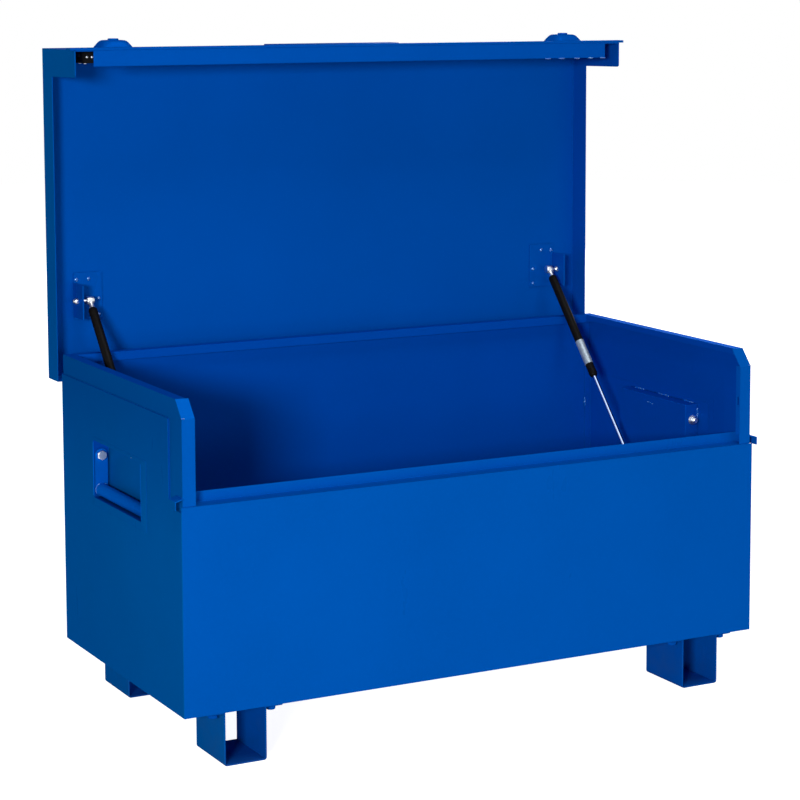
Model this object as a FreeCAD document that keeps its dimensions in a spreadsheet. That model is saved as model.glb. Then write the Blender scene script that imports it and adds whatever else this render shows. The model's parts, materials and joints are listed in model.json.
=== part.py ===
"""Steel site storage box with a strutted lid, drop handles and two side-throwing locks.

Frame: millimetres, +Z up, ground at Z = 0, X across the front, -Y at the front, lid open.
"""
import FreeCAD, Part
import os
import re
import Sketcher

DOC = FreeCAD.newDocument("site_box")
SHEET = DOC.addObject("Spreadsheet::Sheet", "dims")

# Driving dimensions, in millimetres. Heights called *_height are above the box underside.
DRIVING = [
    ("width", 1220, "overall width of the body"),
    ("depth", 610, "overall depth of the body"),
    ("foot_height", 100, "ground to the box underside"),
    ("sheet", 2, "sheet steel thickness"),
    ("side_height", 568, "top of the sides and of the rear wall"),
    ("skin_drop", 38, "outer side skins below the top of the sides"),
    ("front_height", 380, "top of the front wall ledge"),
    ("joggle", 3.5, "set-in of everything the lid closes over"),
    ("notch_width", 60, "front notch of the side skin that takes the lid cheek"),
    ("notch_drop", 9, "floor of that notch below the front ledge"),
    ("liner_lap", 30, "overlap of the set-in liner behind the side skin"),
    ("liner_ramp", 60, "run of the slope at each edge of the liner"),
    ("ramp_end", 0.3, "thickness of those slopes at their thin end"),
    ("corner_return", 17, "return flange in each rear corner"),
    ("corner_radius", 5, "rounded corner of the side skin"),
    ("chamfer_run", 28, "ear chamfer, front to rear"),
    ("chamfer_rise", 32, "ear chamfer, vertical"),
    ("ear_flange", 25, "front flange of the ear"),
    ("ear_lip", 14, "return lip behind the ear flange"),
    ("top_flange", 20, "inward flange along the sides and the rear wall"),
    ("side_lip", 12, "lip hanging from the side flanges"),
    ("rear_lip", 17, "lip hanging from the rear flange"),
    ("ledge_depth", 35, "front face to the upstand"),
    ("upstand_rise", 19, "upstand above the ledge"),
    ("tab_reach", 12, "side tab beyond the skin"),
    ("tab_start", 0, "side tab behind the front face"),
    ("tab_length", 34, "side tab, front to rear"),
    ("tab_over", 16, "top of the side tab above the front ledge"),
    ("tab_drop", 20, "depth of the side tab"),
    ("recess_start", 190, "front edge of the handle recess"),
    ("recess_length", 250, "handle recess, front to rear"),
    ("recess_height", 315, "bottom of the handle recess"),
    ("recess_rise", 115, "height of the handle recess"),
    ("recess_depth", 32, "depth of the handle recess"),
    ("pivot_inset", 14, "handle pivot inside the side skin"),
    ("pivot_height", 398, "handle pivot height"),
    ("grip_drop", 67, "handle pivot to grip"),
    ("grip_radius", 12, "radius of the grip tube"),
    ("grip_wall", 2, "wall of the grip tube"),
    ("arm_radius", 12.5, "rounded ends of the handle arms"),
    ("arm_thick", 4, "thickness of the handle arms"),
    ("arm_gap", 1, "air between a handle arm and the recess cheek"),
    ("bolt_radius", 5, "handle pivot bolt"),
    ("fit_gap", 0.08, "radial running clearance"),
    ("foot_inset", 77, "outside of a foot from the body side"),
    ("foot_setback", 3, "end of a foot from the front or rear face"),
    ("foot_width", 83, "outer width of a foot channel"),
    ("foot_length", 131, "length of a foot channel"),
    ("foot_sheet", 3, "thickness of a foot channel"),
    ("foot_flange", 32, "bolting flange beside a foot channel"),
    ("foot_bolt_edge", 15, "foot bolt from the channel wall"),
    ("foot_bolt_end", 16, "foot bolt from the end of the foot"),
    ("foot_bolt_radius", 5, "foot bolt"),
    ("foot_bolt_proud", 11, "foot bolt above the floor panel"),
    ("foot_hex_radius", 9.5, "corners of a foot bolt head and nut"),
    ("foot_head_rise", 6.5, "height of a foot bolt head"),
    ("foot_nut_rise", 8, "height of a foot bolt nut"),
    ("washer_radius", 10.5, "washer under a foot bolt head"),
    ("washer_rise", 2, "thickness of that washer"),
    ("hinge_set", 23, "hinge axis behind the rear face"),
    ("hinge_over", 1, "hinge axis above the outer side skins"),
    ("hinge_pitch", 430, "spacing of the hinges"),
    ("hinge_half", 45, "half length of a hinge"),
    ("knuckle_half", 20, "half length of the middle knuckle"),
    ("knuckle_gap", 0.5, "air between knuckles"),
    ("knuckle_radius", 8, "hinge knuckle"),
    ("pin_radius", 4, "hinge pin"),
    ("leaf_sheet", 4, "thickness of the hinge leaves"),
    ("leaf_drop", 26, "hinge leaf on the body below the axis"),
    ("leaf_rise", 14, "hinge leaf on the body above the axis"),
    ("leaf_short", 12, "hinge leaf on the lid short of the lid sheet"),
    ("pin_over", 0.3, "hinge pin beyond the knuckles at each end"),
    ("lid_over", 18, "top of the closed lid above the top of the sides"),
    ("lid_rear", 21, "rear of the lid behind the hinge axis"),
    ("lid_flange", 54, "side and rear flanges of the lid"),
    ("cheek_width", 54, "lid cheek, front to rear"),
    ("cheek_taper", 2.5, "lid cheek narrower at its lower end"),
    ("cheek_short", 2, "lower end of the lid cheek above the skirt edge"),
    ("skirt_over", 18, "front skirt and cheeks above the front ledge, lid closed"),
    ("rail_width", 31, "return rail of the front skirt"),
    ("rail_cut", 37, "rail kept clear of each ear"),
    ("strip_proud", 5, "thickness of the strip on the skirt edge"),
    ("strip_width", 25, "width of that strip"),
    ("strip_over", 9.5, "overhang of that strip beyond each side"),
    ("plate_half", 145, "half length of the blank plate"),
    ("plate_low", 6, "bottom of the blank plate below the hinge axis"),
    ("plate_rise", 40, "height of the blank plate"),
    ("plate_thick", 3, "thickness of the blank plate"),
    ("lock_inset", 102, "lock axis from the lid side"),
    ("lock_rise", 68, "lock axis above the lower edge of the skirt"),
    ("cover_base", 66, "lock cover at the skirt"),
    ("cover_face", 44, "lock cover at its flat"),
    ("cover_rise", 17.5, "height of the lock cover"),
    ("collar_radius", 10.5, "collar on the lock cover"),
    ("collar_rise", 20.5, "top of that collar in front of the skirt"),
    ("plug_radius", 7, "lock plug"),
    ("plug_rise", 20, "lock plug in front of the skirt"),
    ("plug_tail", 7, "lock plug behind the skirt face"),
    ("slot_width", 1.8, "key slot width"),
    ("slot_length", 9, "key slot length"),
    ("slot_depth", 6, "key slot depth"),
    ("case_start", 32, "lock case from the lid side"),
    ("case_length", 114, "length of the lock case"),
    ("case_depth", 26, "rear of the lock case from the skirt face"),
    ("case_half", 20, "half height of the lock case"),
    ("throw_rest", 31, "end of the drawn-back lock bolt from the lid side"),
    ("throw_length", 60, "length of the lock bolt"),
    ("throw_travel", 16, "travel of the lock bolt"),
    ("throw_near", 8, "near face of the lock bolt behind the skirt face"),
    ("throw_thick", 6, "thickness of the lock bolt"),
    ("throw_half", 8, "half height of the lock bolt"),
    ("throw_gap", 0.1, "clearance round the lock bolt in its case"),
    ("keeper_gap", 0.6, "clearance round the lock bolt in the ear lip"),
    ("screw_radius", 3.5, "lock screw head"),
    ("screw_rise", 2, "height of a lock screw head"),
    ("screw_edge", 7, "lock screw from the case edge"),
    ("pin_screw_radius", 2.4, "end screw head of the lock case"),
    ("bracket_inset", 54, "outside of the strut bracket flange from the side"),
    ("bracket_sheet", 3, "thickness of the strut brackets"),
    ("bracket_front", 34, "lid bracket flange ahead of its stud, lid closed"),
    ("bracket_rear", 35, "lid bracket flange behind its stud"),
    ("base_width", 60, "width of the lid bracket base"),
    ("base_front", 54, "lid bracket base ahead of its stud"),
    ("base_rear", 40, "lid bracket base behind its stud"),
    ("strut_inset", 78.7, "strut axis from the side"),
    ("ball_ahead", 133, "upper ball ahead of the hinge axis, lid closed"),
    ("ball_above", 26, "upper ball above the hinge axis, lid closed"),
    ("ball_radius", 5, "ball stud"),
    ("ball_gap", 0.05, "clearance of the ball in its socket"),
    ("mount_start", 303, "lower strut stud from the front face"),
    ("mount_height", 271.5, "lower strut stud height"),
    ("mount_half", 30, "half length of the lower strut bracket"),
    ("mount_drop", 28, "lower strut bracket below its stud"),
    ("mount_rise", 20, "lower strut bracket above its stud"),
    ("open_gap", 0.8, "air at the open lower pivot of each strut"),
    ("end_radius", 8.5, "strut end fitting"),
    ("end_half", 8, "half width of a strut end fitting"),
    ("tube_radius", 9, "gas strut tube"),
    ("tube_bore", 7.5, "bore of the strut tube"),
    ("tube_start", 21, "upper ball to the tube"),
    ("tube_end", 272, "upper ball to the gland"),
    ("gland_end", 284, "upper ball to the end of the gland"),
    ("label_start", 193, "upper ball to the label sleeve"),
    ("label_length", 60, "length of the label sleeve"),
    ("label_thick", 0.25, "thickness of the label sleeve"),
    ("piston_start", 256, "upper ball to the piston, strut extended"),
    ("piston_length", 10, "length of the piston"),
    ("rod_radius", 4, "strut rod"),
    ("rivet_radius", 4, "lid bracket rivet head"),
    ("rivet_rise", 2.5, "height of a rivet head"),
    ("rivet_edge", 8, "rivet from the edges of the bracket base"),
    ("rivet_pitch", 22, "spacing of the two rivets ahead of the flange"),
]

# Positions worked out from the driving dimensions.
DERIVED = [
    ("left_x", "=-width / 2"),
    ("skin_height", "=side_height - skin_drop"),
    ("hinge_height", "=skin_height + hinge_over"),
    ("lid_height", "=side_height + lid_over"),
    ("notch_height", "=front_height - notch_drop"),
    ("tab_height", "=front_height + tab_over"),
    ("front_y", "=-(depth + hinge_set + lid_height - hinge_height) / 2"),
    ("rear_y", "=front_y + depth"),
    ("floor_z", "=foot_height"),
    ("ledge_z", "=floor_z + front_height"),
    ("skin_z", "=floor_z + skin_height"),
    ("crown_z", "=floor_z + side_height"),
    ("liner_out", "=left_x + joggle"),
    ("liner_in", "=left_x + joggle + sheet"),
    ("hinge_y", "=rear_y + hinge_set"),
    ("hinge_z", "=floor_z + hinge_height"),
    ("recess_front", "=front_y + recess_start"),
    ("recess_back", "=recess_front + recess_length"),
    ("recess_low", "=floor_z + recess_height"),
    ("recess_high", "=recess_low + recess_rise"),
    ("pivot_x", "=left_x + pivot_inset"),
    ("pivot_z", "=floor_z + pivot_height"),
    ("arm_front", "=recess_front + sheet + arm_gap"),
    ("arm_back", "=recess_back - sheet - arm_gap"),
    ("lid_front", "=-(depth + hinge_set)"),
    ("lid_up", "=lid_height - hinge_height"),
    ("lid_under", "=lid_up - sheet"),
    ("lid_edge", "=lid_up - lid_flange"),
    ("skirt_low", "=front_height + skirt_over - hinge_height"),
    ("lock_drop", "=-(skirt_low + lock_rise)"),
    ("lock_x", "=left_x + lock_inset"),
    ("case_x", "=left_x + case_start"),
    ("lock_z", "=hinge_z - lock_drop"),
    ("strut_x", "=left_x + strut_inset"),
    ("bracket_x", "=left_x + bracket_inset"),
    ("ball_y", "=hinge_y + ball_above"),
    ("ball_z", "=hinge_z + ball_ahead"),
    ("mount_y", "=front_y + mount_start"),
    ("mount_z", "=floor_z + mount_height"),
    ("strut_length", "=sqrt((ball_y - mount_y)^2 + (ball_z - mount_z)^2)"),
    ("strut_angle", "=atan2(ball_y - mount_y; ball_z - mount_z)"),
]

ALIASES = set()
LID_TURN = -90
HEX_SIDES = 6
X_AXIS = FreeCAD.Vector(1, 0, 0)
Y_AXIS = FreeCAD.Vector(0, 1, 0)
Z_AXIS = FreeCAD.Vector(0, 0, 1)
ALONG = {
    "x": FreeCAD.Rotation(Y_AXIS, 90),
    "y": FreeCAD.Rotation(X_AXIS, -90),
    "z": FreeCAD.Rotation(Z_AXIS, 0),
}
# Sketch planes: the first takes (Y, Z) and pads along +X, the second (X, Z) and pads along -Y.
SIDE_PLANE = FreeCAD.Rotation(FreeCAD.Vector(1, 1, 1), 120)
FRONT_PLANE = FreeCAD.Rotation(X_AXIS, 90)
NODES = []


def fill_sheet():
    """Write the driving numbers and the derived positions with their names."""
    rows = [(name, str(value), note) for name, value, note in DRIVING]
    rows += [(name, formula, "derived") for name, formula in DERIVED]
    for row, (name, content, note) in enumerate(rows, start=1):
        SHEET.set("A{}".format(row), name)
        SHEET.set("B{}".format(row), content)
        SHEET.setAlias("B{}".format(row), name)
        SHEET.set("C{}".format(row), note)
        ALIASES.add(name)
    DOC.recompute()


def ref(text):
    """Point every alias in an expression at the sheet."""
    def named(match):
        word = match.group()
        return "dims." + word if word in ALIASES else word
    return re.sub(r"[a-z][a-z0-9_]*", named, str(text))


def bind(item, prop, text):
    item.setExpression(prop, ref(text))


def move(item, x="0", y="0", z="0", rotation=None):
    """Bind the position of an object, with a fixed rotation."""
    if rotation is not None:
        item.Placement = FreeCAD.Placement(FreeCAD.Vector(), rotation)
    for axis, text in zip("xyz", (x, y, z)):
        bind(item, "Placement.Base." + axis, text)
    return item


def box(name, x, y, z):
    """Block between three (low, high) pairs."""
    item = DOC.addObject("Part::Box", name)
    for side, (low, high) in zip(("Length", "Width", "Height"), (x, y, z)):
        bind(item, side, "({}) - ({})".format(high, low))
    return move(item, x[0], y[0], z[0])


def bar(name, axis, low, high, across, radius):
    """Round bar along an axis from low to high; across gives its other two positions."""
    item = DOC.addObject("Part::Cylinder", name)
    bind(item, "Radius", radius)
    bind(item, "Height", "({}) - ({})".format(high, low))
    place = list(across)
    place.insert("xyz".index(axis), low)
    return move(item, *place, rotation=ALONG[axis])


def hexagon(name, axis, low, high, across, radius):
    """Hexagonal bar along an axis, by its corner radius."""
    item = DOC.addObject("Part::Prism", name)
    item.Polygon = HEX_SIDES
    bind(item, "Circumradius", radius)
    bind(item, "Height", "({}) - ({})".format(high, low))
    place = list(across)
    place.insert("xyz".index(axis), low)
    return move(item, *place, rotation=ALONG[axis])


def ball(name, x, y, z, radius):
    item = DOC.addObject("Part::Sphere", name)
    bind(item, "Radius", radius)
    return move(item, x, y, z)


def profile(name, turn, place, points, length):
    """Padded outline: points are (across, up) pairs from the given place."""
    body = DOC.addObject("PartDesign::Body", name)
    plane = [item for item in body.Origin.OriginFeatures if item.Role == "XY_Plane"][0]
    sketch = body.newObject("Sketcher::SketchObject", name + "_outline")
    sketch.AttachmentSupport = [(plane, "")]
    sketch.MapMode = "FlatFace"
    count = len(points)
    start = [FreeCAD.Vector(3 * i + 1, (i * i) % 7 + 1, 0) for i in range(count)]
    for i in range(count):
        sketch.addGeometry(Part.LineSegment(start[i], start[(i + 1) % count]), False)
    for i in range(count):
        sketch.addConstraint(Sketcher.Constraint("Coincident", i, 2, (i + 1) % count, 1))
    for i, (across, up) in enumerate(points):
        for kind, text in (("DistanceX", across), ("DistanceY", up)):
            index = sketch.addConstraint(Sketcher.Constraint(kind, -1, 1, i, 1, 1.0))
            bind(sketch, "Constraints[{}]".format(index), text)
    pad = body.newObject("PartDesign::Pad", name + "_pad")
    pad.Profile = sketch
    bind(pad, "Length", length)
    return move(body, *place, rotation=turn)


def join(name, parts):
    item = DOC.addObject("Part::MultiFuse", name)
    item.Shapes = parts
    item.Refine = True
    return item


def group(name, parts):
    item = DOC.addObject("Part::Compound", name)
    item.Links = parts
    return item


def cut(name, base, tools):
    item = DOC.addObject("Part::Cut", name)
    item.Base = base
    item.Tool = tools[0] if len(tools) == 1 else group(name + "_tools", tools)
    return item


def mirror(name, source):
    """Right-hand copy of a left-hand part."""
    item = DOC.addObject("Part::Mirroring", name)
    item.Source = source
    item.Normal = X_AXIS
    return item


def node(item, label):
    item.Label = label
    NODES.append(item)
    return item


def pair(item, stem):
    """Hand in a left part and its mirrored right part."""
    node(item, stem + "_left")
    return node(mirror(stem + "_mirror", item), stem + "_right")


def on_lid(item):
    """Put a part drawn with the lid closed, about the hinge axis, on the open lid."""
    turn = FreeCAD.Rotation(X_AXIS, LID_TURN)
    return move(item, "0", "hinge_y", "hinge_z", rotation=turn)


def rounded(across, up, side_across, side_up):
    """Three points in place of a square corner."""
    soft = "corner_radius"
    return [
        ("{} + ({}) * {}".format(across, side_across, soft), up),
        ("{} + ({}) * 0.29 * {}".format(across, side_across, soft),
         "{} + ({}) * 0.29 * {}".format(up, side_up, soft)),
        (across, "{} + ({}) * {}".format(up, side_up, soft)),
    ]


def foot_bolt_spots():
    """Bolt centres of the two left feet."""
    near = "left_x + foot_inset - foot_bolt_edge"
    far = "left_x + foot_inset + foot_width + foot_bolt_edge"
    ends = (
        "front_y + foot_setback + foot_bolt_end",
        "front_y + foot_setback + foot_length - foot_bolt_end",
        "rear_y - foot_setback - foot_length + foot_bolt_end",
        "rear_y - foot_setback - foot_bolt_end",
    )
    return [(x, y) for x in (near, far) for y in ends]


def with_mirror(parts):
    """Left parts and their mirrored right partners, for one shared node."""
    return parts + [mirror(item.Name + "_mirror", item) for item in parts]


def build_floor():
    panel = box("floor_sheet", ("left_x + sheet", "-left_x - sheet"),
                ("front_y + sheet", "rear_y - sheet"), ("floor_z", "floor_z + sheet"))
    holes = [
        bar("floor_hole_{}".format(i), "z", "floor_z - 1", "floor_z + sheet + 1", spot,
            "foot_bolt_radius + fit_gap")
        for i, spot in enumerate(foot_bolt_spots())
    ]
    node(cut("floor_cut", panel, with_mirror(holes)), "floor_panel")


def build_front():
    inside = ("liner_in", "-liner_in")
    upstand = "front_y + ledge_depth"
    parts = [
        box("front_face", ("left_x", "-left_x"), ("front_y", "front_y + sheet"),
            ("floor_z", "ledge_z")),
        box("front_ledge", inside, ("front_y", upstand + " + sheet"),
            ("ledge_z - sheet", "ledge_z")),
        box("front_upstand", inside, (upstand, upstand + " + sheet"),
            ("ledge_z - sheet", "ledge_z + upstand_rise")),
    ]
    node(join("front_sheet", parts), "front_wall")


def build_rear():
    inner = "rear_y - top_flange"
    inside = ("liner_in", "-liner_in")
    parts = [
        box("rear_face", ("left_x", "-left_x"), ("rear_y - sheet", "rear_y"),
            ("floor_z", "skin_z")),
        box("rear_upper", ("liner_out", "-liner_out"), ("rear_y - sheet", "rear_y"),
            ("floor_z + sheet", "crown_z")),
        box("rear_flange", inside, (inner, "rear_y"), ("crown_z - sheet", "crown_z")),
        box("rear_drop", inside, (inner, inner + " + sheet"), ("crown_z - rear_lip", "crown_z")),
    ]
    node(join("rear_sheet", parts), "rear_wall")


def build_sides():
    """Outer skins, with the notch for the lid cheek and the opening for the handle recess."""
    end = "depth - sheet"
    points = [("sheet", "0"), (end, "0"), (end, "skin_height")]
    points += rounded("notch_width", "skin_height", "1", "-1")
    points += [("notch_width", "notch_height"), ("sheet", "notch_height")]
    skin = profile("side_skin", SIDE_PLANE, ("left_x", "front_y", "floor_z"), points, "sheet")
    opening = box("side_opening", ("left_x - sheet", "left_x + 2 * sheet"),
                  ("recess_front", "recess_back"), ("recess_low", "recess_high"))
    flange = box("side_return", ("left_x + sheet", "left_x + corner_return"),
                 ("rear_y - 2 * sheet", "rear_y - sheet"),
                 ("floor_z + sheet", "skin_z - liner_lap"))
    pair(join("side_sheet", [cut("side_cut", skin, [opening]), flange]), "side")


def slope_block(name, turn, place, length):
    """Slope from the liner down to the side skin, for one edge of the liner."""
    item = DOC.addObject("Part::Wedge", name)
    for prop in ("Xmin", "Ymin", "Zmin", "X2min", "Z2min"):
        bind(item, prop, "0")
    for prop, text in (("Xmax", "joggle"), ("X2max", "ramp_end"), ("Ymax", "liner_ramp"),
                       ("Zmax", length), ("Z2max", length)):
        bind(item, prop, text)
    return move(item, *place, rotation=turn)


def build_ears():
    """Set-in liners that carry the ears, the top flange and the lock keeper slot."""
    low = "notch_height - liner_lap"
    tail = "notch_width + liner_lap"
    lap = "skin_height - liner_lap"
    end = "depth - sheet"
    run = "joggle + chamfer_run"
    shoulder = "side_height - chamfer_rise"
    origin = ("liner_out", "front_y", "floor_z")
    main = profile("ear_main", SIDE_PLANE, origin, [
        ("joggle", low), (tail, low), (tail, lap), (end, lap), (end, "side_height"),
        (run, "side_height"), ("joggle", shoulder)], "sheet")
    filler = profile("ear_filler", SIDE_PLANE, ("left_x + sheet", "front_y", "floor_z"), [
        ("sheet", low), (tail, low), (tail, lap), (end, lap), (end, "skin_height"),
        ("notch_width", "skin_height"), ("notch_width", "notch_height"),
        ("sheet", "notch_height")], "joggle - sheet")
    slope = profile("ear_slope", SIDE_PLANE, origin, [
        ("joggle", shoulder), (run, "side_height"),
        (run + " + 0.75 * sheet", "side_height - 0.66 * sheet"),
        ("joggle + 0.75 * sheet", shoulder + " - 0.66 * sheet")], "ear_flange")
    face_y = "front_y + joggle"
    edge = "liner_out + ear_flange"
    crown_edge = "liner_out + top_flange"
    top_y = ("front_y + " + run, "rear_y - top_flange")
    parts = [
        main, filler, slope,
        box("ear_front", ("liner_out", edge), (face_y, face_y + " + sheet"),
            ("ledge_z", "crown_z - chamfer_rise")),
        box("ear_return", (edge + " - sheet", edge), (face_y, face_y + " + ear_lip"),
            ("ledge_z + upstand_rise", "crown_z - chamfer_rise")),
        box("ear_crown", ("liner_out", crown_edge), top_y, ("crown_z - sheet", "crown_z")),
        box("ear_drop", (crown_edge + " - sheet", crown_edge), top_y,
            ("crown_z - side_lip", "crown_z")),
    ]
    wall = "left_x + sheet"
    downward = FreeCAD.Rotation(X_AXIS, -90)
    parts += [
        slope_block("ear_slope_rear", ALONG["z"], (wall, "front_y + " + tail, "floor_z + " + low),
                    "({}) - ({})".format(lap, low)),
        slope_block("ear_slope_under", downward, (wall, "front_y + " + tail, "floor_z + " + lap),
                    "({}) - ({}) - sheet".format(end, tail)),
        slope_block("ear_slope_front", downward, (wall, "front_y + sheet", "floor_z + " + low),
                    "({}) - sheet".format(tail)),
    ]
    near = "front_y + throw_near - keeper_gap"
    slot = box("ear_slot", (edge + " - 2 * sheet", edge + " + sheet"),
               (near, near + " + throw_thick + 2 * keeper_gap"),
               ("lock_z - throw_half - keeper_gap", "lock_z + throw_half + keeper_gap"))
    pair(cut("ear_cut", join("ear_sheet", parts), [slot]), "ear")


def build_tabs():
    """Bent tabs that stand out of the notch floor at each side."""
    reach = "-tab_reach"
    foot = "tab_height - tab_drop"
    points = [
        ("joggle", "tab_height"), (reach, "tab_height - 2 * sheet"), (reach, foot),
        (reach + " + sheet", foot), (reach + " + sheet", "tab_height - 3 * sheet"),
        ("joggle", "tab_height - sheet"),
    ]
    place = ("left_x", "front_y + tab_start + tab_length", "floor_z")
    pair(profile("tab_bend", FRONT_PLANE, place, points, "tab_length"), "side_tab")


def build_recesses():
    shell = box("recess_shell", ("left_x", "left_x + recess_depth"),
                ("recess_front", "recess_back"), ("recess_low", "recess_high"))
    hollow = box("recess_hollow", ("left_x - sheet", "left_x + recess_depth - sheet"),
                 ("recess_front + sheet", "recess_back - sheet"),
                 ("recess_low + sheet", "recess_high - sheet"))
    holes = bar("recess_holes", "y", "recess_front - 1", "recess_back + 1",
                ("pivot_x", "pivot_z"), "bolt_radius + fit_gap")
    pair(cut("recess_cut", shell, [hollow, holes]), "handle_recess")


def handle_arm(name, low, high):
    ends = [
        bar(name + "_top", "y", low, high, ("pivot_x", "pivot_z"), "arm_radius"),
        bar(name + "_end", "y", low, high, ("pivot_x", "pivot_z - grip_drop"), "arm_radius"),
        box(name + "_bar", ("pivot_x - arm_radius", "pivot_x + arm_radius"), (low, high),
            ("pivot_z - grip_drop", "pivot_z")),
    ]
    hole = bar(name + "_hole", "y", low + " - 1", high + " + 1", ("pivot_x", "pivot_z"),
               "bolt_radius + fit_gap")
    return cut(name, join(name + "_solid", ends), [hole])


def build_handles():
    grip_at = ("pivot_x", "pivot_z - grip_drop")
    tube = bar("grip_tube", "y", "arm_front + arm_thick", "arm_back - arm_thick", grip_at,
               "grip_radius")
    bore = bar("grip_bore", "y", "arm_front + arm_thick", "arm_back - arm_thick", grip_at,
               "grip_radius - grip_wall")
    parts = [
        handle_arm("arm_near", "arm_front", "arm_front + arm_thick"),
        handle_arm("arm_far", "arm_back - arm_thick", "arm_back"),
        cut("grip_cut", tube, [bore]),
    ]
    pair(join("handle_bend", parts), "handle")


def build_handle_bolts():
    """Pivot bolts with their heads in the recess, and the nuts behind the cheeks."""
    at = ("pivot_x", "pivot_z")
    head = "1.9 * bolt_radius"
    near = "arm_front + arm_thick + 0.4"
    far = "arm_back - arm_thick - 0.4"
    bolts = [
        join("pivot_bolt_near", [
            bar("bolt_near_shank", "y", "recess_front - 2 * bolt_radius - 2", near, at,
                "bolt_radius"),
            hexagon("bolt_near_head", "y", near, near + " + 1.3 * bolt_radius", at, head)]),
        join("pivot_bolt_far", [
            bar("bolt_far_shank", "y", far, "recess_back + 2 * bolt_radius + 2", at,
                "bolt_radius"),
            hexagon("bolt_far_head", "y", far + " - 1.3 * bolt_radius", far, at, head)]),
    ]
    node(group("pivot_bolts", with_mirror(bolts)), "handle_bolts")
    spans = (("recess_front - 1.6 * bolt_radius", "recess_front"),
             ("recess_back", "recess_back + 1.6 * bolt_radius"))
    nuts = []
    for i, (low, high) in enumerate(spans):
        body = hexagon("pivot_nut_body_{}".format(i), "y", low, high, at, head)
        hole = bar("pivot_nut_hole_{}".format(i), "y", low + " - 1", high + " + 1", at,
                   "bolt_radius + fit_gap")
        nuts.append(cut("pivot_nut_{}".format(i), body, [hole]))
    node(group("pivot_nuts", with_mirror(nuts)), "handle_nuts")


def build_feet():
    """Four channel feet with outward bolting flanges."""
    points = [("-foot_flange", "foot_height - foot_sheet"), ("0", "foot_height - foot_sheet")]
    points += reversed(rounded("0", "0", "1", "1"))
    points += rounded("foot_width", "0", "-1", "1")
    points += [
        ("foot_width", "foot_height - foot_sheet"),
        ("foot_width + foot_flange", "foot_height - foot_sheet"),
        ("foot_width + foot_flange", "foot_height"),
        ("foot_width - foot_sheet", "foot_height"), ("foot_width - foot_sheet", "foot_sheet"),
        ("foot_sheet", "foot_sheet"), ("foot_sheet", "foot_height"),
        ("-foot_flange", "foot_height"),
    ]
    ends = (("front", "front_y + foot_setback + foot_length"), ("rear", "rear_y - foot_setback"))
    for which, (name, high) in enumerate(ends):
        place = ("left_x + foot_inset", high, "0")
        channel = profile("foot_channel_" + name, FRONT_PLANE, place, points, "foot_length")
        spots = [s for i, s in enumerate(foot_bolt_spots()) if (i % 4) // 2 == which]
        holes = [
            bar("foot_hole_{}_{}".format(name, i), "z", "floor_z - foot_sheet - 1", "floor_z + 1",
                spot, "foot_bolt_radius + fit_gap")
            for i, spot in enumerate(spots)
        ]
        pair(cut("foot_cut_" + name, channel, holes), "foot_" + name)


def build_foot_bolts():
    bolts = []
    nuts = []
    flange = "floor_z - foot_sheet"
    seat = "floor_z - foot_sheet - washer_rise"
    top = "floor_z + sheet"
    for i, spot in enumerate(foot_bolt_spots()):
        bolts.append(join("foot_bolt_{}".format(i), [
            bar("foot_shank_{}".format(i), "z", seat, top + " + foot_bolt_proud", spot,
                "foot_bolt_radius"),
            bar("foot_washer_{}".format(i), "z", seat, flange, spot, "washer_radius"),
            hexagon("foot_head_{}".format(i), "z", seat + " - foot_head_rise", seat, spot,
                    "foot_hex_radius")]))
        body = hexagon("foot_nut_body_{}".format(i), "z", top, top + " + foot_nut_rise", spot,
                       "foot_hex_radius")
        hole = bar("foot_nut_hole_{}".format(i), "z", top + " - 1", top + " + foot_nut_rise + 1",
                   spot, "foot_bolt_radius + fit_gap")
        nuts.append(cut("foot_nut_{}".format(i), body, [hole]))
    node(group("foot_bolt_set", with_mirror(bolts)), "foot_bolts")
    node(group("foot_nut_set", with_mirror(nuts)), "foot_nuts")


def body_leaf(tag, x):
    """Hinge leaf on the rear wall with its two outer knuckles."""
    outer = x + " - hinge_half"
    inner = x + " - knuckle_half - knuckle_gap"
    spans = ((outer, inner), (x + " + knuckle_half + knuckle_gap", x + " + hinge_half"))
    parts = [box("body_leaf_plate_" + tag, (outer, x + " + hinge_half"),
                 ("rear_y", "rear_y + leaf_sheet"), ("hinge_z - leaf_drop", "hinge_z + leaf_rise"))]
    for i, span in enumerate(spans):
        parts.append(box("body_leaf_arm_{}_{}".format(tag, i), span, ("rear_y", "hinge_y"),
                         ("hinge_z - leaf_sheet / 2", "hinge_z + leaf_sheet / 2")))
        parts.append(bar("body_leaf_eye_{}_{}".format(tag, i), "x", span[0], span[1],
                         ("hinge_y", "hinge_z"), "knuckle_radius"))
    bore = bar("body_leaf_bore_" + tag, "x", outer + " - 1", x + " + hinge_half + 1",
               ("hinge_y", "hinge_z"), "pin_radius + fit_gap")
    return cut("body_leaf_" + tag, join("body_leaf_solid_" + tag, parts), [bore])


def lid_leaf(tag, x):
    """Hinge leaf inside the rear flange of the lid with the middle knuckle."""
    span = (x + " - knuckle_half", x + " + knuckle_half")
    inner = "lid_rear - sheet - leaf_sheet"
    parts = [
        bar("lid_leaf_eye_" + tag, "x", span[0], span[1], ("0", "0"), "knuckle_radius"),
        box("lid_leaf_arm_" + tag, span, ("0", inner + " + leaf_sheet"),
            ("-leaf_sheet / 2", "leaf_sheet / 2")),
        box("lid_leaf_plate_" + tag, (x + " - hinge_half", x + " + hinge_half"),
            (inner, inner + " + leaf_sheet"), ("-leaf_sheet / 2", "lid_under - leaf_short")),
    ]
    bore = bar("lid_leaf_bore_" + tag, "x", span[0] + " - 1", span[1] + " + 1", ("0", "0"),
               "pin_radius + fit_gap")
    return cut("lid_leaf_" + tag, join("lid_leaf_solid_" + tag, parts), [bore])


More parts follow.
